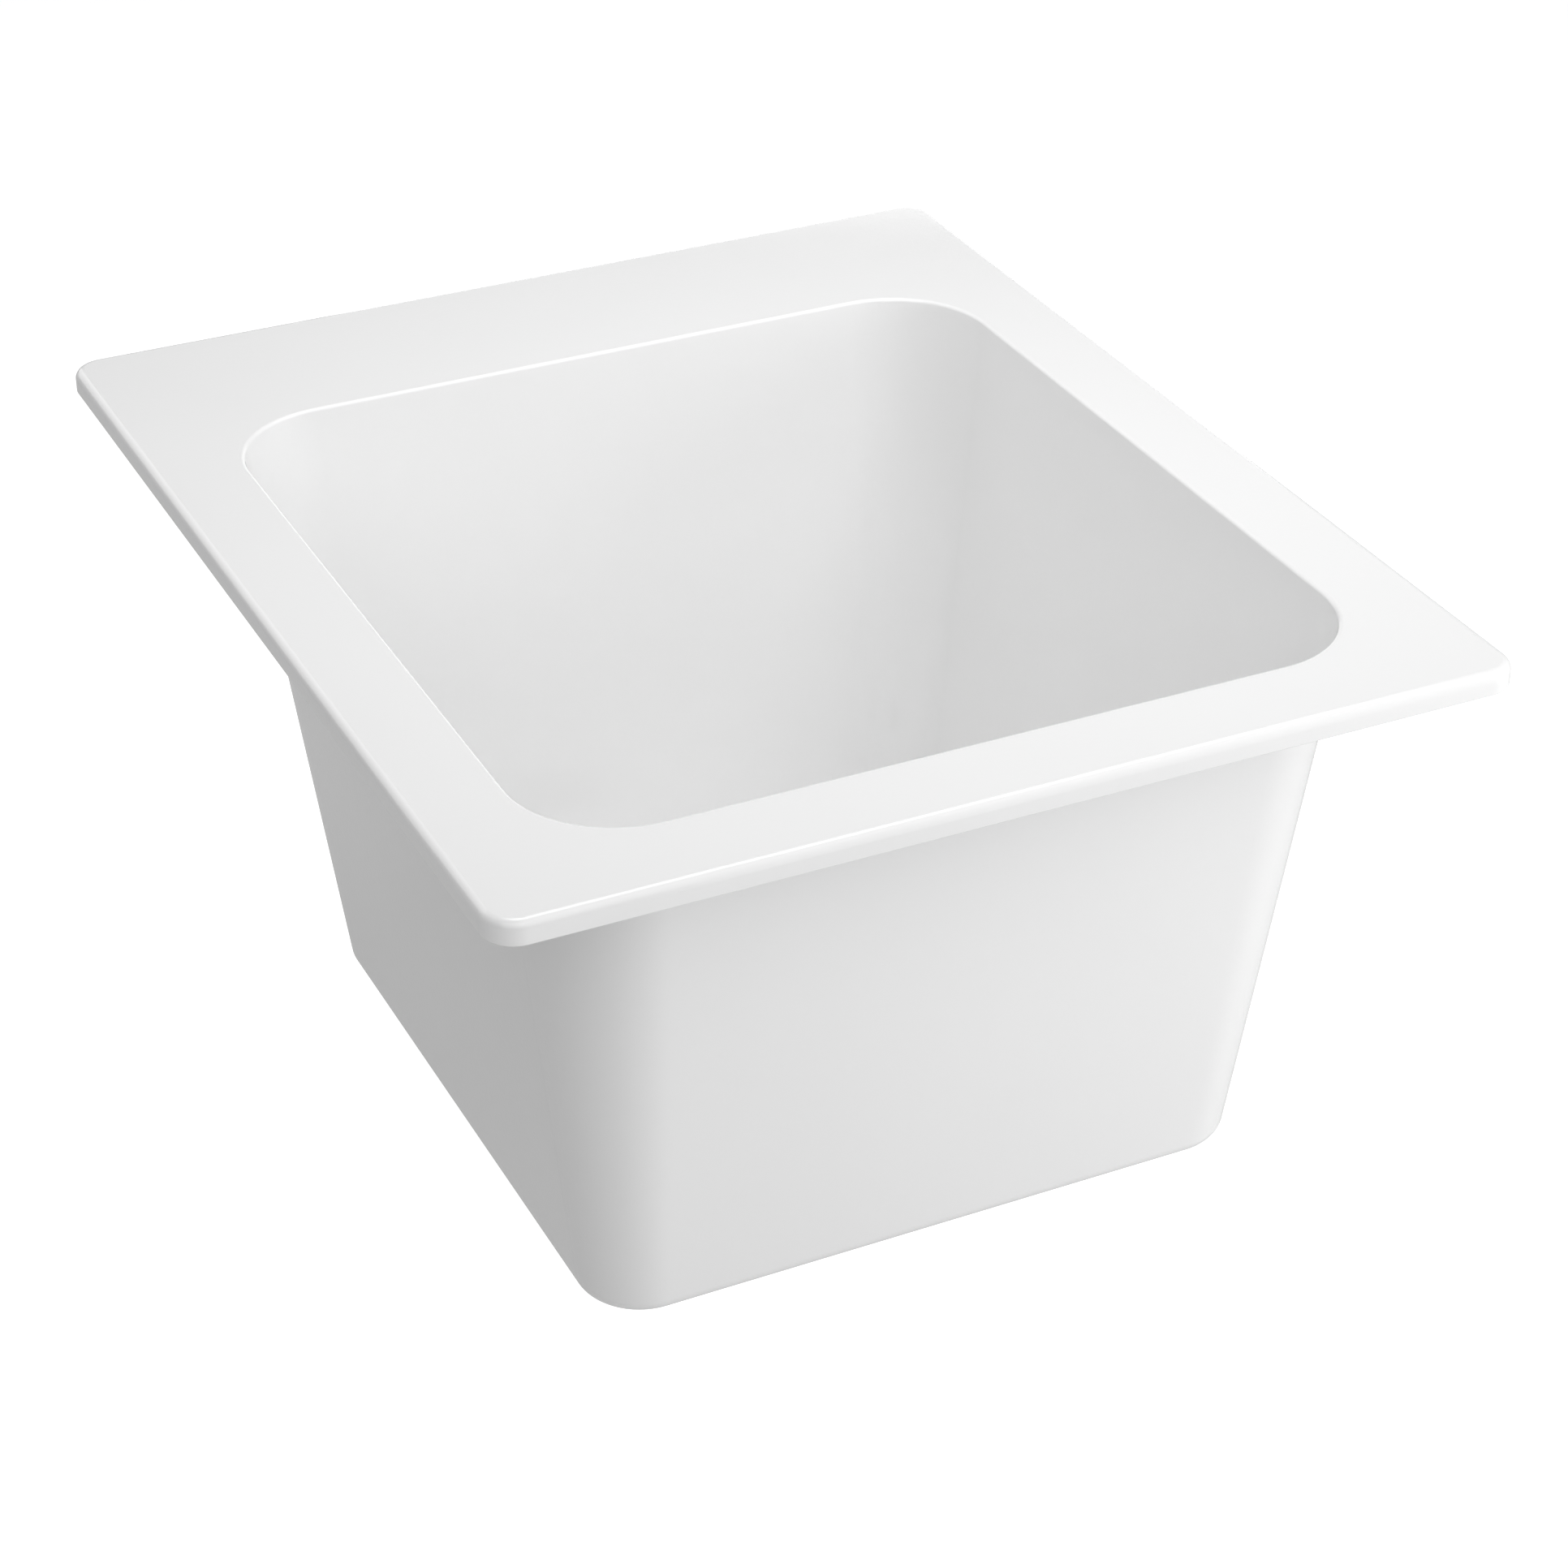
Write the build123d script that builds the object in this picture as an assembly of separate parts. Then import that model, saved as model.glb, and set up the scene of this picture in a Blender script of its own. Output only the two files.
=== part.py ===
from build123d import *
import math
import os

# Drop-in laundry sink, in millimetres.
# The origin is the centre of the rim, on the plane of the worktop's upper face.
# +Z is up and +Y runs to the wide ledge at the back.

# Rim
rim_width = 533.4
rim_depth = 635.0
rim_thickness = 12.5
rim_corner_radius = 17.0
rim_top_round = 6.0
rim_bottom_round = 1.0
lip_thickness = 5.0
deck_thickness = 4.0

# Bowl, measured at the deck
side_ledge = 48.2
front_ledge = 50.0
back_ledge = 116.0
bowl_corner_radius = 56.0
bowl_floor_corner_radius = 30.5
bowl_depth = 308.0
side_draft = 6.9
front_draft = 7.5
back_draft = 8.4
wall_thickness = 4.0
floor_thickness = 6.0
bowl_edge_round = 4.0
bowl_floor_round = 12.0
outer_floor_round = 10.0

# Drain seat in the floor
drain_from_front = 282.5
drain_hole_radius = 44.45
floor_fall = 3.0
floor_fall_radius = 150.0
recess_depth = 3.0
recess_clearance = 1.6
pad_drop = 6.0
pad_margin = 7.0

# Rim seal
seal_width = 8.0
seal_clearance = 0.3
seal_inner_corner = 3.7

# Threads, drawn as level ridges
thread_depth = 0.6
thread_crest_share = 0.2

# Strainer body
flange_overlap = 12.7
flange_thickness = 1.5
flange_dish = 0.5
flange_edge = 0.8
collar_clearance = 0.45
cup_thread_step = 1.5
cup_thread_pitch = 2.0
cup_wall = 1.5
cup_depth = 52.0
cup_floor = 2.0
mouth_flare = 2.2
mouth_depth = 4.0
neck_bore_radius = 19.0
neck_wall = 4.5
neck_length = 16.0
neck_thread_pitch = 2.2
spider_arms = 3
spider_width = 3.2
spider_height = 2.0
spider_drop = 2.0
hub_clearance = 0.25
hub_wall = 3.0

# Rings and nut around the strainer body
putty_clearance = 0.7
gasket_clearance = 0.4
gasket_width = 11.0
gasket_thickness = 3.0
friction_ring_thickness = 1.0
locknut_clearance = 0.2
locknut_height = 11.0
locknut_wall = 8.0
locknut_lugs = 6
lug_width = 12.0
lug_reach = 5.0

# Post clip
post_clip_thickness = 0.6
post_clip_margin = 0.6
ball_clearance = 0.35

# Basket
basket_drop = 8.0
detent_gap = 0.3
seat_gap = 0.2
post_radius = 3.0
post_neck_radius = 2.2
post_fit = 0.05
post_collar_radius = 5.2
post_collar_thickness = 1.0
ball_radius = 3.4
stopper_overlap = 7.0
stopper_thickness = 4.0
retainer_radius = 9.0
retainer_thickness = 1.5
basket_wall = 1.0
basket_floor_inset = 7.4
basket_rim_gap = 0.6
basket_rim_width = 1.6
basket_rim_height = 1.6
basket_rim_below_flange = 4.0
perforation_radius = 3.0
first_hole_ring = 13.8
hole_ring_gap = 7.5
floor_hole_pitch = 8.8
wall_hole_pitch = 11.0
wall_hole_rows = 2
knob_radius = 12.0
knob_height = 11.0
knob_neck_radius = 6.0
knob_neck_height = 3.7
knob_flare_height = 1.8
knob_edge_round = 2.7
knob_socket_depth = 5.5
knob_above_drain = 5.0

# Outlet
outlet_washer_thickness = 1.5
outlet_washer_margin = 0.6
tail_radius = 19.05
tail_wall = 1.0
tail_length = 70.0
tail_flange_thickness = 2.0
tail_flange_inset = 1.1
tail_neck_length = 5.0
tail_neck_depth = 0.3
coupling_wall = 3.35
coupling_lip = 3.0
coupling_overlap = 12.0
coupling_clearance = 0.15
coupling_edge = 1.2

# Bosses for the hold-down clips
clip_inset = 34.0
side_clip_spacing = 230.0
boss_wall = 4.0
boss_drop = 12.0
boss_hole_roof = 4.5
rib_width = 4.0
rib_rise = 2.0

# Hold-down clips
screw_radius = 3.0
screw_fit = 0.05
screw_thread_depth = 0.5
screw_pitch = 2.0
screw_tip_gap = 1.5
screw_point = 3.0
head_radius = 5.0
head_height = 3.5
head_round = 1.2
cross_width = 1.2
cross_depth = 1.8
washer_margin = 0.4
washer_thickness = 1.2
washer_clearance = 0.4
strap_gap = 0.3
strap_thickness = 2.5
strap_reach = 32.0
strap_edge_drop = 1.5
strap_edge_thickness = 1.5
strap_hole_clearance = 0.3
tooth_height = 1.4

# Heights that follow from the sizes above
deck_under = rim_thickness - deck_thickness
floor_z = rim_thickness - bowl_depth
outer_floor_z = floor_z - floor_thickness
drain_top_z = floor_z - floor_fall
seat_z = drain_top_z - recess_depth
pad_bottom_z = outer_floor_z - pad_drop
flange_bottom_z = drain_top_z - flange_thickness
cup_floor_z = drain_top_z - cup_depth
cup_bottom_z = cup_floor_z - cup_floor
neck_bottom_z = cup_bottom_z - neck_length
spider_z = cup_floor_z - spider_drop - spider_height
post_clip_z = spider_z + spider_height
post_clip_top_z = post_clip_z + post_clip_thickness

# Heights of the basket's parts in its raised, draining position
ball_z = post_clip_top_z + detent_gap + ball_radius
stopper_z = cup_floor_z + basket_drop + seat_gap
basket_floor_z = stopper_z + stopper_thickness
basket_inside_z = basket_floor_z + basket_wall
retainer_top_z = basket_inside_z + retainer_thickness
knob_top_z = drain_top_z + knob_above_drain
knob_low_z = knob_top_z - knob_height

# Places and radii that follow from the sizes above
bowl_half_width = rim_width / 2 - side_ledge
bowl_front_y = -rim_depth / 2 + front_ledge
bowl_back_y = rim_depth / 2 - back_ledge
drain_y = -rim_depth / 2 + drain_from_front
flange_radius = drain_hole_radius + flange_overlap
recess_radius = flange_radius + recess_clearance
pad_radius = recess_radius + pad_margin
collar_radius = drain_hole_radius - collar_clearance
cup_thread_radius = collar_radius - cup_thread_step
cup_inner_radius = cup_thread_radius - thread_depth - cup_wall
neck_radius = neck_bore_radius + neck_wall
clip_bore_radius = ball_radius + ball_clearance
hub_bore_radius = clip_bore_radius + hub_clearance
hub_radius = hub_bore_radius + hub_wall
post_hole_radius = post_radius + post_fit
boss_radius = screw_radius + screw_fit + boss_wall
washer_radius = head_radius + washer_margin
strap_half_width = washer_radius + washer_clearance + strap_edge_thickness
strap_top_z = -boss_drop - strap_gap
washer_top_z = strap_top_z - strap_thickness
head_top_z = washer_top_z - washer_thickness

FROM_BELOW = (Align.CENTER, Align.CENTER, Align.MIN)
overlap = 1.0


def tan_of(angle):
    return math.tan(math.radians(angle))


def rounded_slab(width, depth, radius, low, high):
    """A flat slab with rounded corners, centred in plan."""
    return extrude(Pos(0, 0, low) * RectangleRounded(width, depth, radius), high - low)


def cylinder(radius, low, high, centre=(0, drain_y)):
    """An upright cylinder between two heights."""
    return Pos(centre[0], centre[1], low) * Cylinder(radius, high - low, align=FROM_BELOW)


def turned(points, centre_y=drain_y):
    """A solid of revolution about an upright axis, from (radius, height) points."""
    profile = Plane.XZ * make_face(Polyline(*points, close=True))
    return Pos(0, centre_y, 0) * revolve(profile, Axis.Z)


def ring(inner, outer, low, high):
    """A flat ring about the drain's axis."""
    return turned([(inner, low), (outer, low), (outer, high), (inner, high)])


def thread_points(radius, low, high, pitch, depth):
    """The outside of a ridged thread, from its lower end to its upper end."""
    turns = int((high - low) / pitch)
    start = high - turns * pitch
    flank = pitch * (1 - thread_crest_share) / 2
    points = []
    for turn in range(turns):
        foot = start + turn * pitch
        points.append((radius - depth, foot))
        points.append((radius, foot + flank))
        points.append((radius, foot + pitch - flank))
    points.append((radius - depth, high))
    return points


def bowl_outline(height, grow):
    """The bowl's inner outline at a height, grown outwards by a wall."""
    drop = rim_thickness - height
    half_width = bowl_half_width - drop * tan_of(side_draft) + grow
    front = bowl_front_y + drop * tan_of(front_draft) - grow
    back = bowl_back_y - drop * tan_of(back_draft) + grow
    taper = (bowl_corner_radius - bowl_floor_corner_radius) / bowl_depth
    radius = bowl_corner_radius - drop * taper + grow
    return Pos(0, (front + back) / 2, height) * RectangleRounded(2 * half_width, back - front, radius)


def bowl_body(top, bottom, grow, bottom_round):
    """The drafted bowl as a solid, with its floor edge rounded."""
    body = loft([bowl_outline(top, grow), bowl_outline(bottom, grow)], ruled=True)
    return fillet(body.edges().group_by(Axis.Z)[0], bottom_round)


def clip_places():
    """Name, screw axis, outward direction and ledge width of each hold-down clip."""
    side_x = rim_width / 2 - clip_inset
    end_y = rim_depth / 2 - clip_inset
    middle_y = (bowl_front_y + bowl_back_y) / 2
    near_y = middle_y - side_clip_spacing / 2
    far_y = middle_y + side_clip_spacing / 2
    return [
        ("front", (0, -end_y), (0, -1), front_ledge),
        ("right_front", (side_x, near_y), (1, 0), side_ledge),
        ("right_back", (side_x, far_y), (1, 0), side_ledge),
        ("back", (0, end_y), (0, 1), back_ledge),
        ("left_back", (-side_x, far_y), (-1, 0), side_ledge),
        ("left_front", (-side_x, near_y), (-1, 0), side_ledge),
    ]


def make_rim():
    """The deck with its turned-down lip, hollow below."""
    slab = rounded_slab(rim_width, rim_depth, rim_corner_radius, 0, rim_thickness)
    slab = fillet(slab.edges().group_by(Axis.Z)[-1], rim_top_round)
    slab = fillet(slab.edges().group_by(Axis.Z)[0], rim_bottom_round)
    inside = (rim_width - 2 * lip_thickness, rim_depth - 2 * lip_thickness, rim_corner_radius - lip_thickness)
    return slab - rounded_slab(*inside, -overlap, deck_under)


def make_clip_boss(place, outward, ledge):
    """A boss under the deck, with a rib to the bowl's wall."""
    boss = cylinder(boss_radius, -boss_drop, deck_under + overlap, place)
    reach = ledge - clip_inset
    length = reach if outward[0] else rib_width
    depth = rib_width if outward[0] else reach
    rib_low = rib_rise - boss_drop
    rib = Box(length, depth, deck_under + overlap - rib_low, align=FROM_BELOW)
    middle = (place[0] - outward[0] * reach / 2, place[1] - outward[1] * reach / 2)
    return boss + Pos(middle[0], middle[1], rib_low) * rib


def opening_edges(basin):
    """The edges of the bowl's opening in the deck."""
    edges = basin.edges().group_by(Axis.Z)[-1]
    edges = edges.filter_by_position(Axis.X, -bowl_half_width - overlap, bowl_half_width + overlap)
    return edges.filter_by_position(Axis.Y, bowl_front_y - overlap, bowl_back_y + overlap)


def make_basin():
    """Rim, bowl, drain pad and clip bosses, moulded in one piece."""
    basin = make_rim()
    basin += bowl_body(deck_under, outer_floor_z, wall_thickness, outer_floor_round)
    basin += cylinder(pad_radius, pad_bottom_z, outer_floor_z + overlap)
    for name, place, outward, ledge in clip_places():
        basin += make_clip_boss(place, outward, ledge)
    basin -= bowl_body(rim_thickness + overlap, floor_z, 0, bowl_floor_round)
    above_floor = floor_z + overlap
    fall = [(0, drain_top_z), (recess_radius, drain_top_z), (floor_fall_radius, floor_z)]
    basin -= turned(fall + [(floor_fall_radius, above_floor), (0, above_floor)])
    basin -= cylinder(recess_radius, seat_z, above_floor)
    basin -= cylinder(drain_hole_radius, pad_bottom_z - overlap, above_floor)
    for name, place, outward, ledge in clip_places():
        hole_top = rim_thickness - boss_hole_roof
        basin -= cylinder(screw_radius + screw_fit, -boss_drop - overlap, hole_top, place)
    return fillet(opening_edges(basin), bowl_edge_round)


def make_rim_seal():
    """A strip inside the lip, from the deck down to the worktop."""
    outer = lip_thickness + seal_clearance
    inner = outer + seal_width
    outside = (rim_width - 2 * outer, rim_depth - 2 * outer, rim_corner_radius - outer)
    inside = (rim_width - 2 * inner, rim_depth - 2 * inner, seal_inner_corner)
    return rounded_slab(*outside, 0, deck_under) - rounded_slab(*inside, -overlap, deck_under + overlap)


def make_strainer_body():
    """A flanged cup with a thread outside, an outlet neck and a spider in the neck."""
    cup_root = cup_thread_radius - thread_depth
    neck_root = neck_radius - thread_depth
    cup_thread_top = pad_bottom_z + thread_depth
    neck_thread = (neck_bottom_z + thread_depth, cup_bottom_z - neck_thread_pitch, neck_thread_pitch)
    points = [
        (flange_radius, flange_bottom_z),
        (flange_radius, drain_top_z - flange_edge),
        (flange_radius - flange_edge, drain_top_z),
        (cup_inner_radius + mouth_flare, drain_top_z - flange_dish),
        (cup_inner_radius, drain_top_z - mouth_depth),
        (cup_inner_radius, cup_floor_z),
        (neck_bore_radius, cup_floor_z),
        (neck_bore_radius, neck_bottom_z),
        (neck_root, neck_bottom_z),
    ]
    points += thread_points(neck_radius, *neck_thread, thread_depth)
    points += [(neck_root, cup_bottom_z), (cup_root - cup_floor, cup_bottom_z)]
    points += thread_points(cup_thread_radius, cup_floor_z, cup_thread_top, cup_thread_pitch, thread_depth)
    points += [(collar_radius, cup_thread_top + thread_depth), (collar_radius, flange_bottom_z)]
    body = turned(points) + cylinder(hub_radius, spider_z, post_clip_z)
    outwards = (Align.MIN, Align.CENTER, Align.MIN)
    bar = Box(neck_bore_radius + overlap, spider_width, spider_height, align=outwards)
    for arm in range(spider_arms):
        body += Pos(0, drain_y, spider_z) * Rot(0, 0, 360 * arm / spider_arms) * bar
    return body - cylinder(hub_bore_radius, spider_z - overlap, post_clip_z + overlap)


def make_locknut():
    """A ring nut with wrench lugs."""
    top = pad_bottom_z - gasket_thickness - friction_ring_thickness
    bore = cup_thread_radius + locknut_clearance
    outer = bore + locknut_wall
    root = outer - locknut_wall / 2
    nut = ring(bore, outer, top - locknut_height, top)
    outwards = (Align.MIN, Align.CENTER, Align.MAX)
    lug = Box(outer + lug_reach - root, lug_width, locknut_height, align=outwards)
    for place in range(locknut_lugs):
        nut += Pos(0, drain_y, top) * Rot(0, 0, 360 * place / locknut_lugs) * Pos(root, 0, 0) * lug
    return nut


def make_floor_rings():
    """Putty in the recess, and gasket and friction ring under the pad."""
    putty_inner = collar_radius + putty_clearance
    putty_outer = flange_radius - putty_clearance
    inner = cup_thread_radius + gasket_clearance
    outer = inner + gasket_width
    gasket_low = pad_bottom_z - gasket_thickness
    return {
        "putty_ring": ring(putty_inner, putty_outer, seat_z, flange_bottom_z),
        "drain_gasket": ring(inner, outer, gasket_low, pad_bottom_z),
        "friction_ring": ring(inner, outer, gasket_low - friction_ring_thickness, gasket_low),
    }


def make_basket_post():
    """A stem with a ball end, a neck above it and a collar that carries the stopper."""
    collar_low = stopper_z - post_collar_thickness
    stem_top = knob_low_z + knob_socket_depth
    stem = turned([
        (0, ball_z),
        (post_neck_radius, ball_z),
        (post_neck_radius, collar_low),
        (post_collar_radius, collar_low),
        (post_collar_radius, stopper_z),
        (post_radius, stopper_z),
        (post_radius, stem_top),
        (0, stem_top),
    ])
    return stem + Pos(0, drain_y, ball_z) * Sphere(ball_radius)


def make_basket_knob():
    """A mushroom knob pressed over the post's upper end."""
    neck_top = knob_low_z + knob_neck_height
    knob = turned([
        (0, knob_low_z),
        (knob_neck_radius, knob_low_z),
        (knob_neck_radius, neck_top),
        (knob_radius, neck_top + knob_flare_height),
        (knob_radius, knob_top_z),
        (0, knob_top_z),
    ])
    knob = fillet(knob.edges().group_by(Axis.Z)[-1], knob_edge_round)
    return knob - cylinder(post_hole_radius, knob_low_z - overlap, knob_low_z + knob_socket_depth)


def hole_circle(drill, radius, height, pitch, offset_share):
    """Copies of a drill around the drain's axis, evenly spaced at about a pitch."""
    count = int(2 * math.pi * radius / pitch)
    turns = [Rot(0, 0, 360 * (hole + offset_share) / count) for hole in range(count)]
    return [Pos(0, drain_y, height) * turn * Pos(radius, 0, 0) * drill for turn in turns]


def make_basket_cup():
    """A perforated cup with a flat rim and a hole for the post."""
    rim_outer = cup_inner_radius - basket_rim_gap
    rim_top = drain_top_z - basket_rim_below_flange
    rim_low = rim_top - basket_rim_height
    wall_top = rim_outer - basket_rim_width
    floor_radius = cup_inner_radius - basket_floor_inset
    cup = turned([
        (post_hole_radius, basket_floor_z),
        (floor_radius, basket_floor_z),
        (wall_top, rim_low),
        (rim_outer, rim_low),
        (rim_outer, rim_top),
        (wall_top - basket_wall, rim_top),
        (floor_radius - basket_wall, basket_inside_z),
        (post_hole_radius, basket_inside_z),
    ])
    drill = Cylinder(perforation_radius, 4 * basket_wall)
    last_ring = floor_radius - basket_wall - perforation_radius
    for step in range(1 + int((last_ring - first_hole_ring) / hole_ring_gap)):
        radius = first_hole_ring + step * hole_ring_gap
        cup -= hole_circle(drill, radius, basket_floor_z, floor_hole_pitch, 0)
    wall_radius = (floor_radius + wall_top) / 2
    side_drill = Rot(0, 90, 0) * Cylinder(perforation_radius, wall_top - floor_radius + 4 * basket_wall)
    row_gap = (rim_low - basket_inside_z) / (wall_hole_rows + 1)
    for row in range(wall_hole_rows):
        height = basket_inside_z + (row + 1) * row_gap
        cup -= hole_circle(side_drill, wall_radius, height, wall_hole_pitch, row / 2)
    return cup


def make_outlet_parts():
    """Washer, tailpiece and coupling nut under the strainer's neck."""
    washer_low = neck_bottom_z - outlet_washer_thickness
    flange_low = washer_low - tail_flange_thickness
    tail_bore = tail_radius - tail_wall
    tail_flange_radius = neck_radius - tail_flange_inset
    neck_low = flange_low - tail_neck_length
    tailpiece = ring(tail_bore, tail_radius, flange_low - tail_length, neck_low)
    tailpiece += ring(tail_bore, tail_radius - tail_neck_depth, neck_low, washer_low)
    tailpiece += ring(tail_bore, tail_flange_radius, flange_low, washer_low)
    nut_top = neck_bottom_z + coupling_overlap
    nut_low = flange_low - coupling_lip
    thread_bore = neck_radius + coupling_clearance
    hexagon = RegularPolygon(thread_bore + coupling_wall, 6, major_radius=False)
    nut = extrude(Pos(0, drain_y, nut_low) * hexagon, nut_top - nut_low)
    nut = chamfer(nut.edges().group_by(Axis.Z)[-1] + nut.edges().group_by(Axis.Z)[0], coupling_edge)
    nut -= cylinder(thread_bore, flange_low, nut_top + overlap)
    nut -= cylinder(tail_radius + coupling_clearance, nut_low - overlap, nut_top)
    washer_outer = tail_flange_radius + outlet_washer_margin
    return {
        "outlet_washer": ring(tail_bore, washer_outer, washer_low, neck_bottom_z),
        "tailpiece": tailpiece,
        "coupling_nut": nut,
    }


def make_clip_strap():
    """A steel strap along +X from its pivot, with turned-down edges and a raised tooth."""
    edge_low = washer_top_z - strap_edge_drop
    outline = Pos(strap_reach / 2, 0) * Rectangle(strap_reach, 2 * strap_half_width)
    outline += Circle(strap_half_width)
    strap = extrude(Pos(0, 0, edge_low) * outline, strap_top_z - edge_low)
    channel = offset(outline, -strap_edge_thickness)
    strap -= extrude(Pos(0, 0, edge_low) * channel, strap_edge_drop)
    tooth = make_face(Polyline((0, 0), (-tooth_height, 0), (0, tooth_height), close=True))
    strap += Pos(strap_reach, 0, strap_top_z) * extrude(Plane.XZ * tooth, strap_half_width, both=True)
    return strap - cylinder(screw_radius + strap_hole_clearance, edge_low, strap_top_z + overlap, (0, 0))


def make_clip_washer():
    washer = cylinder(washer_radius, head_top_z, washer_top_z, (0, 0))
    return washer - cylinder(screw_radius + screw_fit, head_top_z - overlap, washer_top_z + overlap, (0, 0))


def make_clip_screw():
    """A coarse screw, head down, with a cross recess in its head."""
    head_low = head_top_z - head_height
    tip = rim_thickness - boss_hole_roof - screw_tip_gap
    points = [
        (0, head_low),
        (head_radius - head_round, head_low),
        (head_radius, head_low + head_round),
        (head_radius, head_top_z),
        (screw_radius, head_top_z),
        (screw_radius, -boss_drop - screw_thread_depth),
    ]
    points += thread_points(screw_radius, -boss_drop, tip - screw_point, screw_pitch, screw_thread_depth)
    points += [((screw_radius - screw_thread_depth) / 2, tip), (0, tip)]
    screw = turned(points, 0)
    for angle in (0, 90):
        slot = Box(head_radius, cross_width, 2 * cross_depth)
        screw -= Pos(0, 0, head_low) * Rot(0, 0, angle) * slot
    return screw


def make_clips():
    """Every clip, turned so that its strap is parked along the bowl's wall."""
    nodes = {}
    pieces = {"strap": make_clip_strap(), "washer": make_clip_washer(), "screw": make_clip_screw()}
    for name, place, outward, ledge in clip_places():
        parked = math.degrees(math.atan2(outward[1], outward[0])) - 90
        for piece, shape in pieces.items():
            nodes["clip_" + piece + "_" + name] = Pos(place[0], place[1], 0) * Rot(0, 0, parked) * shape
    return nodes


def make_nodes():
    nodes = {
        "basin": make_basin(),
        "rim_seal": make_rim_seal(),
        "strainer_body": make_strainer_body(),
        "locknut": make_locknut(),
        "post_clip": ring(clip_bore_radius, hub_radius - post_clip_margin, post_clip_z, post_clip_top_z),
        "basket_post": make_basket_post(),
        "stopper": ring(post_hole_radius, neck_bore_radius + stopper_overlap, stopper_z, basket_floor_z),
        "basket_cup": make_basket_cup(),
        "stopper_retainer": ring(post_hole_radius, retainer_radius, basket_inside_z, retainer_top_z),
        "basket_knob": make_basket_knob(),
    }
    nodes.update(make_floor_rings())
    nodes.update(make_outlet_parts())
    nodes.update(make_clips())
    return nodes


os.makedirs("parts", exist_ok=True)
for node_name, shape in make_nodes().items():
    export_step(shape, "parts/" + node_name + ".step")
    print(node_name, len(shape.solids()), "solid", round(shape.volume), "cubic mm")
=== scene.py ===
import math

import bmesh
import bpy
import numpy as np
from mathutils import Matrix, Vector
from mathutils.geometry import delaunay_2d_cdt


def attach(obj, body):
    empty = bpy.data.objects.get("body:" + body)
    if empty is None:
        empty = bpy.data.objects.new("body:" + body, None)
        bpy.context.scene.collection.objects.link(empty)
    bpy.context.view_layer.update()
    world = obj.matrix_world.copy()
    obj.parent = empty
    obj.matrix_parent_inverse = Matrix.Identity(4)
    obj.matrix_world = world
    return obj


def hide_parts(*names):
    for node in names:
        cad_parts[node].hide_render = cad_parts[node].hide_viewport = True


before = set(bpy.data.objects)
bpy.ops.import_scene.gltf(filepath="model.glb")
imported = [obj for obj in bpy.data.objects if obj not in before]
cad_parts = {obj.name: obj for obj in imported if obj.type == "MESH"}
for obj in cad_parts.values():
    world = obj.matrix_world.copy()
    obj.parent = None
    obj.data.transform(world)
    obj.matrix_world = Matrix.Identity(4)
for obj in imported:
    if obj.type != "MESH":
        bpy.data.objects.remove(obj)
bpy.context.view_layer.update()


# Basin
# One deep bowl with a broad flat rim, compression moulded in white gloss plastic about 4 mm thick.
# Its lip turns down all round. The rim is hollow below, with a boss and a rib for each hold-down clip.

rim_half_width = 266.7
rim_half_depth = 317.5
rim_corner = 17.0
rim_top = 12.5
rim_top_round = 5.0
rim_foot_round = 1.0
lip = 5.0
lip_inner_round = 0.6
deck_under = 8.5
deck_under_round = 1.2
mouth = {"half_width": 218.5, "front": -267.5, "back": 201.5, "corner": 56.0}
drafts = {"half_width": 6.9, "front": 7.5, "back": 8.4}
corner_taper = 25.5 / 308.0
mean_draft = 7.5
mouth_round = 2.2
under_mouth_round = 2.0
wall = 4.0
bowl_floor = -295.5
bowl_floor_round = 12.0
under_floor = -301.5
under_floor_round = 10.0
drain_centre = (0.0, -35.0)
fall_radius = 150.0
recess_radius = 58.75
recess_edge = -298.5
recess_seat = -301.5
recess_round = 1.0
drain_radius = 44.45
seat_round = 0.8
pad_radius = 65.75
pad_bottom = -307.5
pad_top_round = 2.0
pad_foot_round = 1.0
corner_steps = 20
side_steps = 24
ring_points = 4 * (corner_steps + side_steps)


def arc(steps, start, end):
    """Evenly spaced directions between two that are given in degrees."""
    return np.radians(np.linspace(start, end, steps + 1))


def rounded_ring(half_width, front, back, corner, height):
    """Points of a rounded rectangle, anticlockwise from the middle of its front side."""
    centres = [
        (half_width - corner, front + corner),
        (half_width - corner, back - corner),
        (corner - half_width, back - corner),
        (corner - half_width, front + corner),
    ]
    points = []
    for number, (x, y) in enumerate(centres):
        turns = arc(corner_steps, 90 * number - 90, 90 * number)
        points += [(x + corner * math.cos(turn), y + corner * math.sin(turn)) for turn in turns]
        next_x, next_y = centres[(number + 1) % 4]
        turn = turns[-1]
        end = (next_x + corner * math.cos(turn), next_y + corner * math.sin(turn))
        last = points[-1]
        for step in range(1, side_steps):
            share = step / side_steps
            points.append((last[0] + share * (end[0] - last[0]), last[1] + share * (end[1] - last[1])))
    half = side_steps // 2
    points = points[-half:] + points[:-half]
    return np.array([(x, y, height) for x, y in points])


def rim_ring(inset, height):
    """A ring inside the rim's outer edge."""
    return rounded_ring(
        rim_half_width - inset, inset - rim_half_depth, rim_half_depth - inset, rim_corner - inset, height
    )


def draft_growth(height, draft, floor, floor_round):
    """How far a drafted wall stands inside the mouth's outline, with its floor edge rounded."""
    slope = math.tan(math.radians(draft))
    straight = (height - rim_top) * slope
    if floor is None or height > floor + floor_round * (1 - math.sin(math.radians(draft))):
        return straight
    tangent = floor_round / math.tan(math.radians(45 + draft / 2))
    rise = height - floor - floor_round
    return (floor - rim_top) * slope - tangent + math.sqrt(max(0.0, floor_round ** 2 - rise ** 2))


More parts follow.
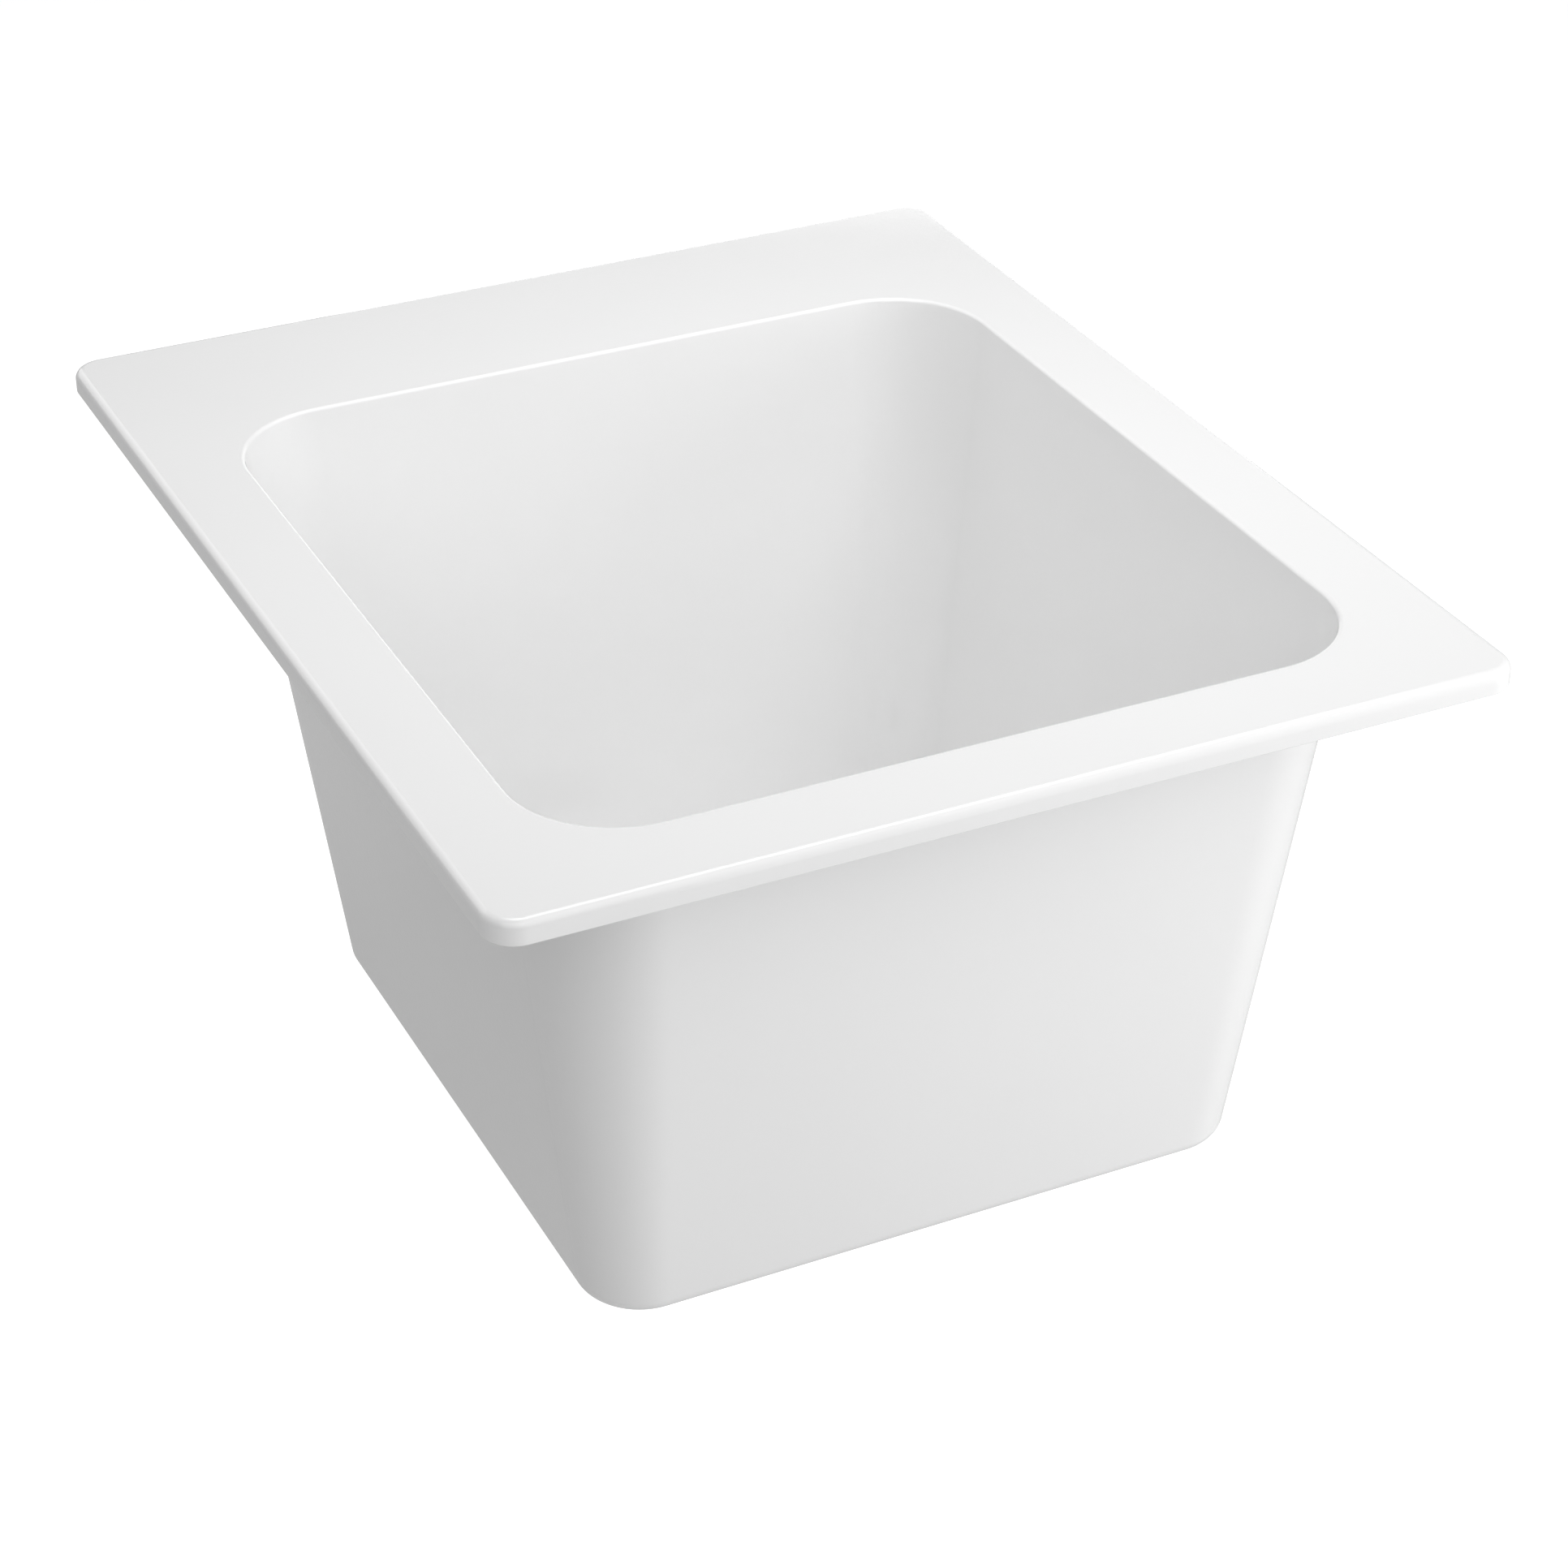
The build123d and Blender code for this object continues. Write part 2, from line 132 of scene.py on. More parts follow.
def grown_mouth(growth, corner, height):
    """The mouth's outline, with each side moved out by its growth."""
    return rounded_ring(
        mouth["half_width"] + growth["half_width"],
        mouth["front"] - growth["front"],
        mouth["back"] + growth["back"],
        mouth["corner"] + corner,
        height,
    )


def bowl_ring(height, grow=0.0, floor=None, floor_round=0.0):
    """A ring of the bowl at a height, grown outwards from its inner face."""
    growth = {}
    for side, draft in drafts.items():
        growth[side] = draft_growth(height, draft, floor, floor_round) + grow
    taper = (height - rim_top) * corner_taper
    if floor is not None:
        taper += growth["front"] - grow - draft_growth(height, drafts["front"], None, 0)
    return grown_mouth(growth, taper + grow, height)


def mouth_ring(height):
    """A ring of the rounded edge between the deck and the bowl's wall."""
    rise = height - rim_top + mouth_round
    growth = {}
    for side, draft in drafts.items():
        tangent = mouth_round / math.tan(math.radians(45 + draft / 2))
        growth[side] = tangent - math.sqrt(max(0.0, mouth_round ** 2 - rise ** 2))
        growth[side] = max(growth[side], (height - rim_top) * math.tan(math.radians(draft)))
    return grown_mouth(growth, growth["front"], height)


def about(centre, radii, turns, heights):
    """Points about an upright line, from their radii, directions and heights."""
    across = centre[0] + radii * np.cos(turns)
    along = centre[1] + radii * np.sin(turns)
    return np.column_stack([across, along, heights + 0 * turns])


def circle_ring(radius, height, count=ring_points, centre=drain_centre):
    """A level circle, in step with the rounded rings."""
    return about(centre, radius, -math.pi / 2 + np.arange(count) * 2 * math.pi / count, height)


def between(first, last, steps):
    """The rings between two rings, without either."""
    return [first + (last - first) * step / steps for step in range(1, steps)]


def bend(across, height, radius, steps, start, end):
    """The rounded corner of a profile, about its centre's distance across and height."""
    turns = arc(steps, start, end)
    return [(across + radius * math.cos(turn), height + radius * math.sin(turn)) for turn in turns]


def object_from(name, points, faces):
    """A smooth-shaded object from points in millimetres and faces. Points that meet are welded."""
    mesh = bpy.data.meshes.new(name)
    mesh.from_pydata((np.asarray(points) / 1000).tolist(), [], faces)
    weld = bmesh.new()
    weld.from_mesh(mesh)
    bmesh.ops.remove_doubles(weld, verts=weld.verts, dist=1e-6)
    loose = [point for point in weld.verts if not point.link_faces]
    bmesh.ops.delete(weld, geom=loose, context="VERTS")
    bmesh.ops.recalc_face_normals(weld, faces=weld.faces)
    weld.to_mesh(mesh)
    weld.free()
    mesh.validate()
    mesh.polygons.foreach_set("use_smooth", [True] * len(mesh.polygons))
    made = bpy.data.objects.new(name, mesh)
    bpy.context.scene.collection.objects.link(made)
    weighted = made.modifiers.new("even shading", "WEIGHTED_NORMAL")
    weighted.weight = 100
    weighted.keep_sharp = True
    return made


def skin_faces(rings, count, first=0, closed=True):
    """Quads between each ring and the next, and from the last back to the first if closed."""
    faces = []
    last = rings if closed else rings - 1
    for ring in range(last):
        low = first + ring * count
        high = first + ((ring + 1) % rings) * count
        for point in range(count):
            beside = (point + 1) % count
            faces.append((low + point, low + beside, high + beside, high + point))
    return faces


# A rounded edge ends, and the drafted wall begins, at this share of its radius.
round_share = 1 - math.sin(math.radians(mean_draft))
inside_top = rim_top - mouth_round * round_share
inside_foot = bowl_floor + bowl_floor_round * round_share
outside_foot = under_floor + under_floor_round * round_share

# Up through the drain hole, over the recess for the strainer's flange and up the floor's fall.
drain_profile = [(drain_radius, pad_bottom + seat_round), (drain_radius, recess_seat - seat_round)]
drain_profile += bend(drain_radius + seat_round, recess_seat - seat_round, seat_round, 4, 180, 90)[1:]
drain_profile += [(radius, recess_seat) for radius in (48.0, 53.0, recess_radius - recess_round)]
drain_profile += bend(recess_radius - recess_round, recess_seat + recess_round, recess_round, 4, -90, 0)[1:]
drain_profile += bend(recess_radius + seat_round, recess_edge - seat_round, seat_round, 5, 180, 90)
fall_slope = (bowl_floor - recess_edge) / (fall_radius - recess_radius)
for radius in np.linspace(recess_radius + 3, fall_radius, 9):
    drain_profile.append((radius, recess_edge + (radius - recess_radius) * fall_slope))
basin_rings = [circle_ring(radius, height) for radius, height in drain_profile]

# Across the floor, up the inner walls and over the mouth's edge.
floor_edge = bowl_ring(bowl_floor, 0, bowl_floor, bowl_floor_round)
basin_rings += between(basin_rings[-1], floor_edge, 7)
basin_rings.append(floor_edge)
turns = arc(14, -90, -mean_draft)[1:-1]
heights = [bowl_floor + bowl_floor_round * (1 + math.sin(turn)) for turn in turns]
heights += list(np.linspace(inside_foot, inside_top, 25))
basin_rings += [bowl_ring(height, 0, bowl_floor, bowl_floor_round) for height in heights]
for turn in arc(12, mean_draft, 90)[1:]:
    basin_rings.append(mouth_ring(rim_top + mouth_round * (math.sin(turn) - 1)))

# Across the deck, down the lip and up to the deck's underside.
rim_profile = bend(rim_top_round, rim_top - rim_top_round, rim_top_round, 14, 90, 180)
rim_profile += [(0.0, 4.7), (0.0, 2.9)]
rim_profile += bend(rim_foot_round, rim_foot_round, rim_foot_round, 5, 180, 270)
rim_profile += [(2.3, 0.0), (3.6, 0.0), (lip - lip_inner_round, 0.0)]
rim_profile += bend(lip - lip_inner_round, lip_inner_round, lip_inner_round, 4, -90, 0)[1:]
rim_profile += [(lip, 3.0), (lip, 5.5)]
rim_profile += bend(lip + deck_under_round, deck_under - deck_under_round, deck_under_round, 5, 180, 90)
rim_rings = [rim_ring(inset, height) for inset, height in rim_profile]
basin_rings += between(basin_rings[-1], rim_rings[0], 8) + rim_rings

# In to the bowl and down its outer walls.
under_mouth = bend(
    wall + under_mouth_round, deck_under - under_mouth_round, under_mouth_round, 6, 90, 180 - mean_draft
)
under_mouth_rings = [bowl_ring(height, grow) for grow, height in under_mouth]
basin_rings += between(basin_rings[-1], under_mouth_rings[0], 8) + under_mouth_rings
heights = list(np.linspace(deck_under - under_mouth_round, outside_foot, 26)[1:])
turns = arc(12, -mean_draft, -90)[1:]
heights += [under_floor + under_floor_round * (1 + math.sin(turn)) for turn in turns]
basin_rings += [bowl_ring(height, wall, under_floor, under_floor_round) for height in heights]

# In to the pad round the drain hole.
pad_profile = bend(pad_radius + pad_top_round, under_floor - pad_top_round, pad_top_round, 5, 90, 180)
pad_profile += bend(pad_radius - pad_foot_round, pad_bottom + pad_foot_round, pad_foot_round, 5, 0, -90)
pad_profile += [(60.0, pad_bottom), (54.0, pad_bottom), (drain_radius + seat_round, pad_bottom)]
pad_profile += bend(drain_radius + seat_round, pad_bottom + seat_round, seat_round, 4, 270, 180)[1:-1]
pad_rings = [circle_ring(radius, height) for radius, height in pad_profile]
basin_rings += between(basin_rings[-1], pad_rings[0], 9) + pad_rings

# Each clip's place, its outward direction in degrees, and how far its rib reaches.
clip_places = {
    "front": ((0, -283.5), -90, 16.0),
    "right_front": ((232.7, -148.0), 0, 14.2),
    "right_back": ((232.7, 82.0), 0, 14.2),
    "back": ((0, 283.5), 90, 82.0),
    "left_back": ((-232.7, 82.0), 180, 14.2),
    "left_front": ((-232.7, -148.0), 180, 14.2),
}
boss_bottom = -12.0
boss_radius = 7.05
boss_hole = 3.05
boss_hole_top = 8.0
boss_mouth_round = 0.5
boss_foot_round = 0.8
boss_root_round = 2.0
boss_cap = 9.5
boss_points = 48
rib_half_width = 2.0
rib_root_round = 1.5
rib_bottom = -10.0
rib_foot_cut = 0.8
rib_steps = 6

boss_mouth = boss_bottom + boss_mouth_round
boss_foot = boss_bottom + boss_foot_round
boss_root = deck_under - boss_root_round
boss_profile = [(boss_hole, boss_hole_top - 0.2)]
boss_profile += bend(boss_hole + boss_mouth_round, boss_mouth, boss_mouth_round, 3, 180, 270)
boss_profile += bend(boss_radius - boss_foot_round, boss_foot, boss_foot_round, 4, -90, 0)
boss_profile += [(boss_radius, -6.0), (boss_radius, 0.0)]
boss_profile += bend(boss_radius + boss_root_round, boss_root, boss_root_round, 5, 180, 90)
boss_profile.append((boss_radius + boss_root_round, boss_cap))
rib_section = [
    (-rib_half_width - rib_root_round, boss_cap),
    (-rib_half_width - rib_root_round, deck_under),
    (-rib_half_width, deck_under - rib_root_round),
    (-rib_half_width, rib_bottom + rib_foot_cut),
    (rib_foot_cut - rib_half_width, rib_bottom),
]
rib_section += [(-across, height) for across, height in reversed(rib_section)]
rib_corners = len(rib_section)

points = list(basin_rings)
faces = skin_faces(len(basin_rings), ring_points)
total = len(basin_rings) * ring_points
for place, outward, reach in clip_places.values():
    for radius, height in boss_profile:
        points.append(circle_ring(radius, height, boss_points, place))
    points.append(np.array([(place[0], place[1], boss_hole_top), (place[0], place[1], boss_cap)]))
    faces += skin_faces(len(boss_profile), boss_points, total, closed=False)
    centre = total + len(boss_profile) * boss_points
    top_row = centre - boss_points
    for point in range(boss_points):
        beside = (point + 1) % boss_points
        faces.append((centre, total + beside, total + point))
        faces.append((centre + 1, top_row + point, top_row + beside))
    total = centre + 2
    turn = math.radians(outward)
    away = np.array([math.cos(turn), math.sin(turn)])
    aside = np.array([-math.sin(turn), math.cos(turn)])
    for distance in np.linspace(boss_radius - 1, reach, rib_steps):
        for across, height in rib_section:
            spot = np.array(place) - away * distance + aside * across
            points.append(np.array([(spot[0], spot[1], height)]))
    faces += skin_faces(rib_steps, rib_corners, total, closed=False)
    faces.append(tuple(range(total, total + rib_corners)))
    total += rib_steps * rib_corners
    faces.append(tuple(range(total - rib_corners, total)))

basin = object_from("basin_shell", np.vstack(points), faces)


class Reading:
    """A number that varies over a surface. Arithmetic on it adds Math nodes."""

    def __init__(self, finish, socket):
        self.finish = finish
        self.socket = socket

    def combine(self, operation, first, second):
        return self.finish.node("ShaderNodeMath", {"operation": operation}, {0: first, 1: second})

    def __add__(self, other):
        return self.combine("ADD", self, other)

    def __mul__(self, other):
        return self.combine("MULTIPLY", self, other)

    def __rsub__(self, other):
        return self.combine("SUBTRACT", other, self)

    def __pow__(self, other):
        return self.combine("POWER", self, other)

    __radd__ = __add__
    __rmul__ = __mul__


class Finish:
    """A material, or the sky, and the one way that its nodes are made."""

    def __init__(self, name, sky=None, **constants):
        self.material = sky or bpy.data.materials.new(name)
        self.material.use_nodes = True
        self.tree = self.material.node_tree
        self.shader = self.tree.nodes["Background" if sky else "Principled BSDF"]
        for socket, value in constants.items():
            self.shader.inputs[socket.replace("_", " ")].default_value = value
        self.place = self.node("ShaderNodeTexCoord", output="Object")

    def node(self, kind, settings=None, inputs=None, output=0):
        """Any node: its type, then its settings, then its sockets' values or links."""
        made = self.tree.nodes.new(kind)
        for name, value in (settings or {}).items():
            if name == "stops":
                ramp = made.color_ramp.elements
                while len(ramp) < len(value):
                    ramp.new(0.5)
                for element, (position, shade) in zip(ramp, value):
                    element.position = position
                    element.color = (shade, shade, shade, 1)
            else:
                setattr(made, name, value)
        for socket, value in (inputs or {}).items():
            self.feed(made.inputs[socket], value)
        return Reading(self, made.outputs[output])

    def feed(self, socket, value):
        if isinstance(value, Reading):
            self.tree.links.new(value.socket, socket)
        else:
            socket.default_value = value

    def noise(self, scale, detail=2.0, roughness=0.5, at=None):
        inputs = {"Vector": at or self.place, "Scale": scale, "Detail": detail, "Roughness": roughness}
        return self.node("ShaderNodeTexNoise", {}, inputs)

    def ramp(self, value, *stops):
        return self.node("ShaderNodeValToRGB", {"stops": stops}, {"Fac": value})

    def colour(self, first, second, share):
        """A colour between two, by a share that varies over the surface."""
        inputs = {"Factor": share, 6: (*first, 1), 7: (*second, 1)}
        return self.node("ShaderNodeMix", {"data_type": "RGBA"}, inputs, 2)

    def surface(self, colour, roughness, height, distance, strength):
        """Colour, roughness and fine relief, whose distance is in metres."""
        relief = {"Height": height, "Distance": distance, "Strength": strength}
        bump = self.node("ShaderNodeBump", {}, relief)
        for socket, value in (("Base Color", colour), ("Roughness", roughness), ("Normal", bump)):
            self.feed(self.shader.inputs[socket], value)


def fit(piece, finish, node, body):
    """Finishes a piece all over and puts it in its node's place."""
    piece.data.materials.append(finish.material)
    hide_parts(node)
    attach(piece, body)


basin_white = Finish("basin white", IOR=1.5)
cloud = basin_white.noise(9.0, 3.0)
peel = basin_white.noise(420.0, 2.0)
smear = basin_white.noise(35.0, 4.0, 0.6)
basin_white.surface(
    colour=basin_white.colour((0.885, 0.885, 0.885), (0.905, 0.905, 0.905), cloud),
    roughness=0.05 + 0.07 * smear,
    height=peel,
    distance=0.0002,
    strength=0.15,
)
fit(basin, basin_white, "basin", "root")


# Rim seal
# A square strip of dark closed-cell foam inside the lip, from the deck down to the worktop.
# The basin's weight squeezes it, so its sides swell at half height. It holds by its own adhesive.

seal_outer = 5.3
seal_inner = 13.3
seal_swell = 0.35
seal_edge = 0.7

seal_section = []
for across, end in ((seal_outer, 1), (seal_inner, -1)):
    side = []
    for share in np.linspace(0, 1, 9):
        hollow = seal_swell * (2 * share - 1) ** 2
        side.append((across + end * hollow, seal_edge + share * (deck_under - 2 * seal_edge)))
    side = [(across + end * (seal_swell + seal_edge), 0)] + side
    side += [(across + end * (seal_swell + seal_edge), deck_under)]
    seal_section += side if end > 0 else side[::-1]
seal_rings = [rim_ring(inset, height) for inset, height in seal_section]
seal_faces = skin_faces(len(seal_rings), ring_points)
seal = object_from("rim_seal_strip", np.vstack(seal_rings), seal_faces)

seal_foam = Finish("seal foam", Specular_IOR_Level=0.3)
# Each cut cell is a pit, lower in the relief and painted darker as painted shade in the pit. The blotches
# are the foam's own tone.
cells = seal_foam.node("ShaderNodeTexVoronoi", {}, {"Vector": seal_foam.place, "Scale": 1300.0})
pore_pits_and_shade = seal_foam.ramp(cells, (0.0, 0.0), (0.45, 1.0))
blotch = seal_foam.noise(60.0, 3.0)
seal_foam.surface(
    colour=seal_foam.colour((0.035, 0.036, 0.038), (0.075, 0.076, 0.078), 0.6 * pore_pits_and_shade + 0.4 * blotch),
    roughness=0.98 - 0.18 * pore_pits_and_shade,
    height=pore_pits_and_shade,
    distance=0.0004,
    strength=0.7,
)
fit(seal, seal_foam, "rim_seal", "root")


# Strainer body
# A deep cup of stainless steel with a broad flange, threaded outside, with an outlet neck below.
# Its flange lies in the floor's recess. A spider of three arms in the neck carries the post clip.

flange_radius = 57.15
flange_low = -300.0
flange_top = -298.5
cup_inner = 40.4
cup_floor = -350.5
cup_low = -352.5
collar_radius = 44.0
cup_thread = {"radius": 42.5, "depth": 0.6, "low": -350.5, "high": -306.9, "pitch": 2.0}
neck_bore = 19.0
neck_low = -368.5
neck_thread = {"radius": 23.5, "depth": 0.6, "low": -367.9, "high": -354.7, "pitch": 2.2}
thread_wave = (0.0, 0.12, 0.62, 1.0, 1.0, 0.62, 0.12)
spider_low = -354.5
hub_radius = 7.0
hub_bore = 4.0
arm_widths = ((6.2, 2.6), (7.2, 1.9), (8.5, 1.6), (16.5, 1.6), (18.0, 1.9), (19.3, 2.8))
arm_edge = 0.35
drain_points = 120


def soften(corners, cut, closed=False):
    """A turned profile whose corners are rounded. A corner may carry a cut of its own."""
    places = np.array([corner[:2] for corner in corners], float)
    ends = () if closed else (0, len(corners) - 1)
    profile = []
    for number, corner in enumerate(corners):
        place = places[number]
        if number in ends:
            profile.append(tuple(place))
            continue
        reach = corner[2] if len(corner) > 2 else cut
        before = places[number - 1] - place
        after = places[(number + 1) % len(corners)] - place
        near = place + before * min(reach / np.linalg.norm(before), 0.45)
        far = place + after * min(reach / np.linalg.norm(after), 0.45)
        for share in (0.0, 0.25, 0.5, 0.75, 1.0):
            spot = (1 - share) ** 2 * near + 2 * share * (1 - share) * place + share ** 2 * far
            profile.append(tuple(spot))
    return profile


def turned(rows, count=drain_points, centre=drain_centre, closed=True):
    """Points and faces of a turned piece, from rows of radius and height. Both may vary with the turn."""
    turns = np.linspace(0, 2 * math.pi, count + 1)
    spots = [about(centre, radii, turns, heights) for radii, heights in rows]
    skin = []
    for row in range(len(rows) if closed else len(rows) - 1):
        low = row * (count + 1)
        high = ((row + 1) % len(rows)) * (count + 1)
        for point in range(count):
            skin.append((low + point, low + point + 1, high + point + 1, high + point))
    return np.vstack(spots), skin


def thread_rows(radius, depth, low, high, pitch, count=drain_points):
    """Rows of a one-start thread that climbs a pitch in each turn and runs out at both ends."""
    climb = np.linspace(0, pitch, count + 1)
    steps = len(thread_wave)
    rows = []
    for step in range(-steps, math.ceil((high - low) / pitch * steps) + 1):
        heights = np.clip(low + pitch * step / steps + climb, low, high)
        run_out = np.clip(np.minimum(heights - low, high - heights) / (0.6 * pitch), 0, 1)
        rows.append((radius - depth * (1 - thread_wave[step % steps] * run_out), heights))
    return rows


def joined(*meshes):
    """One set of points and faces from several."""
    spots = []
    skin = []
    total = 0
    for some_points, some_faces in meshes:
        spots.append(some_points)
        skin += [tuple(point + total for point in face) for face in some_faces]
        total += len(some_points)
    return np.vstack(spots), skin


cup_root = cup_thread["radius"] - cup_thread["depth"]
neck_root = neck_thread["radius"] - neck_thread["depth"]
strainer_rows = soften([
    (collar_radius, flange_low - 2),
    (collar_radius, flange_low, 0.3),
    (flange_radius - 1, flange_low),
    (flange_radius, flange_low + 0.2),
    (flange_radius, flange_top - 0.8),
    (flange_radius - 0.8, flange_top),
    (50.0, flange_top - 0.15, 3.0),
    (cup_inner + 2.2, flange_top - 0.5, 1.6),
    (cup_inner, flange_top - 4, 2.0),
    (cup_inner, cup_floor, 2.5),
    (31.0, cup_floor + 0.01, 1.0),
    (neck_bore, cup_floor, 1.2),
    (neck_bore, neck_low, 0.4),
    (neck_root, neck_low, 0.4),
    (neck_root, neck_thread["low"]),
], 0.35)
strainer_rows += thread_rows(**neck_thread)
strainer_rows += soften([
    (neck_root, neck_thread["high"]),
    (neck_root, cup_low, 0.8),
    (cup_root - 2, cup_low, 0.8),
    (cup_root, cup_floor),
], 0.5)
strainer_rows += thread_rows(**cup_thread)
strainer_rows += soften([
    (cup_root, cup_thread["high"]),
    (collar_radius, cup_thread["high"] + 0.6),
    (collar_radius, flange_low - 2),
], 0.3)[:-1]

hub_rows = soften([
    (hub_bore, spider_low),
    (hub_radius, spider_low),
    (hub_radius, cup_low),
    (hub_bore, cup_low),
], 0.35, closed=True)
strainer_parts = [turned(strainer_rows), turned(hub_rows, 60)]
for arm in range(3):
    turn = 2 * math.pi * arm / 3
    along = np.array([math.cos(turn), math.sin(turn)])
    aside = np.array([-math.sin(turn), math.cos(turn)])
    arm_points = []
    for distance, half in arm_widths:
        for across, height in (
            (-half, spider_low + arm_edge), (arm_edge - half, spider_low),
            (half - arm_edge, spider_low), (half, spider_low + arm_edge),
            (half, cup_low - arm_edge), (half - arm_edge, cup_low),
            (arm_edge - half, cup_low), (-half, cup_low - arm_edge),
        ):
            spot = np.array(drain_centre) + along * distance + aside * across
            arm_points.append((spot[0], spot[1], height))
    arm_skin = skin_faces(len(arm_widths), 8, closed=False)
    arm_skin += [tuple(range(8)), tuple(range(len(arm_points) - 8, len(arm_points)))]
    strainer_parts.append((np.array(arm_points), arm_skin))
strainer = object_from("strainer_body_turned", *joined(*strainer_parts))


def lathe_marks(finish, per_mm):
    """Fine rings about the drain's axis, left by turning, or by brushing while the piece turns."""
    centre = (drain_centre[0] / 1000, drain_centre[1] / 1000, 0)
    shifted = finish.node("ShaderNodeVectorMath", {"operation": "SUBTRACT"}, {0: finish.place, 1: centre})
    axes = [finish.node("ShaderNodeSeparateXYZ", {}, {0: shifted}, axis) for axis in range(3)]
    distance = 1000 * (axes[0] * axes[0] + axes[1] * axes[1]) ** 0.5
    rings = finish.node("ShaderNodeCombineXYZ", {}, {0: distance, 1: 0.0, 2: 1000 * axes[2]})
    return finish.noise(per_mm, 3.0, 0.7, rings)


def metal(name, dark, light, marks_per_mm, smooth, rough, depth):
    """A bare metal with turning marks, dull and bright patches and a few stains."""
    finish = Finish(name, Metallic=1.0)
    marks = lathe_marks(finish, marks_per_mm)
    patches = finish.noise(45.0, 4.0, 0.6)
    stains = finish.ramp(finish.noise(22.0, 5.0, 0.65), (0.55, 0.0), (0.75, 1.0))
    finish.surface(
        colour=finish.colour(light, dark, 0.35 * marks + 0.3 * patches + 0.35 * stains),
        roughness=smooth + (rough - smooth) * (0.45 * marks + 0.35 * patches + 0.4 * stains),
        height=marks,
        distance=depth,
        strength=0.5,
    )
    return finish


stainless = metal(
    "satin stainless",
    dark=(0.50, 0.50, 0.48),
    light=(0.68, 0.68, 0.66),
    marks_per_mm=2.4,
    smooth=0.16,
    rough=0.42,
    depth=0.00004,
)
fit(strainer, stainless, "strainer_body", "root")


# Putty ring
# A bead of grey plumber's putty under the strainer's flange, squeezed flat as the locknut is tightened.
# Its edges wander a little, because it was rolled by hand.

putty_inner = 44.7
putty_outer = 56.45

turns = np.linspace(0, 2 * math.pi, drain_points + 1)
wander = 0.35 + 0.2 * np.sin(3 * turns + 0.7) + 0.12 * np.sin(8 * turns) + 0.05 * np.sin(19 * turns + 2)
middle_height = (recess_seat + flange_low) / 2
putty_rows = [
    (putty_inner + 0.4, recess_seat),
    (putty_outer - wander - 0.35, recess_seat),
    (putty_outer - wander - 0.08, recess_seat + 0.3),
    (putty_outer - wander, middle_height),
    (putty_outer - wander - 0.08, flange_low - 0.3),
    (putty_outer - wander - 0.35, flange_low),
    (putty_inner + 0.4, flange_low),
    (putty_inner + wander / 3, flange_low - 0.4),
    (putty_inner + wander / 3, recess_seat + 0.4),
]
putty_bead = object_from("putty_bead", *turned(putty_rows))

putty = Finish("plumber's putty", Specular_IOR_Level=0.35)
grain = putty.noise(900.0, 3.0)
kneading = putty.noise(140.0, 3.0, 0.6)
putty.surface(
    colour=putty.colour((0.38, 0.36, 0.31), (0.50, 0.48, 0.42), kneading),
    roughness=0.75 + 0.2 * grain,
    height=0.3 * grain + kneading,
    distance=0.0004,
    strength=0.5,
)
fit(putty_bead, putty, "putty_ring", "root")


# Drain gasket
# A flat ring of black rubber between the basin's pad and the friction ring, with one grip groove outside.
# The locknut presses it, and its free edge bulges.

ring_bore = 42.9
ring_outer = 53.9
gasket_low = -310.5

gasket_rows = soften([
    (ring_bore, gasket_low),
    (ring_outer - 0.4, gasket_low),
    (ring_outer, gasket_low + 0.8),
    (ring_outer - 0.45, gasket_low + 1.5, 0.3),
    (ring_outer, pad_bottom - 0.8),
    (ring_outer - 0.4, pad_bottom),
    (ring_bore, pad_bottom),
], 0.4, closed=True)
gasket = object_from("drain_gasket_ring", *turned(gasket_rows))

black_rubber = Finish("black rubber", Specular_IOR_Level=0.4)
bloom = black_rubber.noise(55.0, 4.0, 0.6)
skin_grain = black_rubber.noise(1500.0, 2.0)
black_rubber.surface(
    colour=black_rubber.colour((0.018, 0.018, 0.019), (0.055, 0.055, 0.056), bloom),
    roughness=0.52 + 0.3 * bloom + 0.1 * skin_grain,
    height=skin_grain,
    distance=0.00008,
    strength=0.5,
)
fit(gasket, black_rubber, "drain_gasket", "root")


# Friction ring
# A thin ring of red pressed fibre, punched from sheet, that lets the locknut turn under the gasket.

slip_low = gasket_low - 1.0
slip_rows = soften([
    (ring_bore, slip_low),
    (ring_outer, slip_low),
    (ring_outer, gasket_low),
    (ring_bore, gasket_low),
], 0.15, closed=True)
slip_ring = object_from("friction_ring_punched", *turned(slip_rows))

red_fibre = Finish("red fibre", Specular_IOR_Level=0.25)
felted = red_fibre.noise(700.0, 5.0, 0.75)
shade = red_fibre.noise(70.0, 3.0)
red_fibre.surface(
    colour=red_fibre.colour((0.30, 0.075, 0.045), (0.52, 0.17, 0.11), 0.6 * felted + 0.4 * shade),
    roughness=0.8 + 0.18 * felted,
    height=felted,
    distance=0.0002,
    strength=0.5,
)
fit(slip_ring, red_fibre, "friction_ring", "root")


# Locknut
# A broad ring nut, cast in brass with six wrench lugs and threaded to run up the strainer body.

nut_bore = 42.7
nut_outer = 50.7
nut_low = -322.5
nut_top = -311.5
lug_height = 5.0
lug_half_width = 6.0
lug_middle_radius = 54.0
lug_count = 6
lug_half_turn = math.asin(lug_half_width / lug_middle_radius)
lug_flank = math.radians(1.8)
nut_points = 288

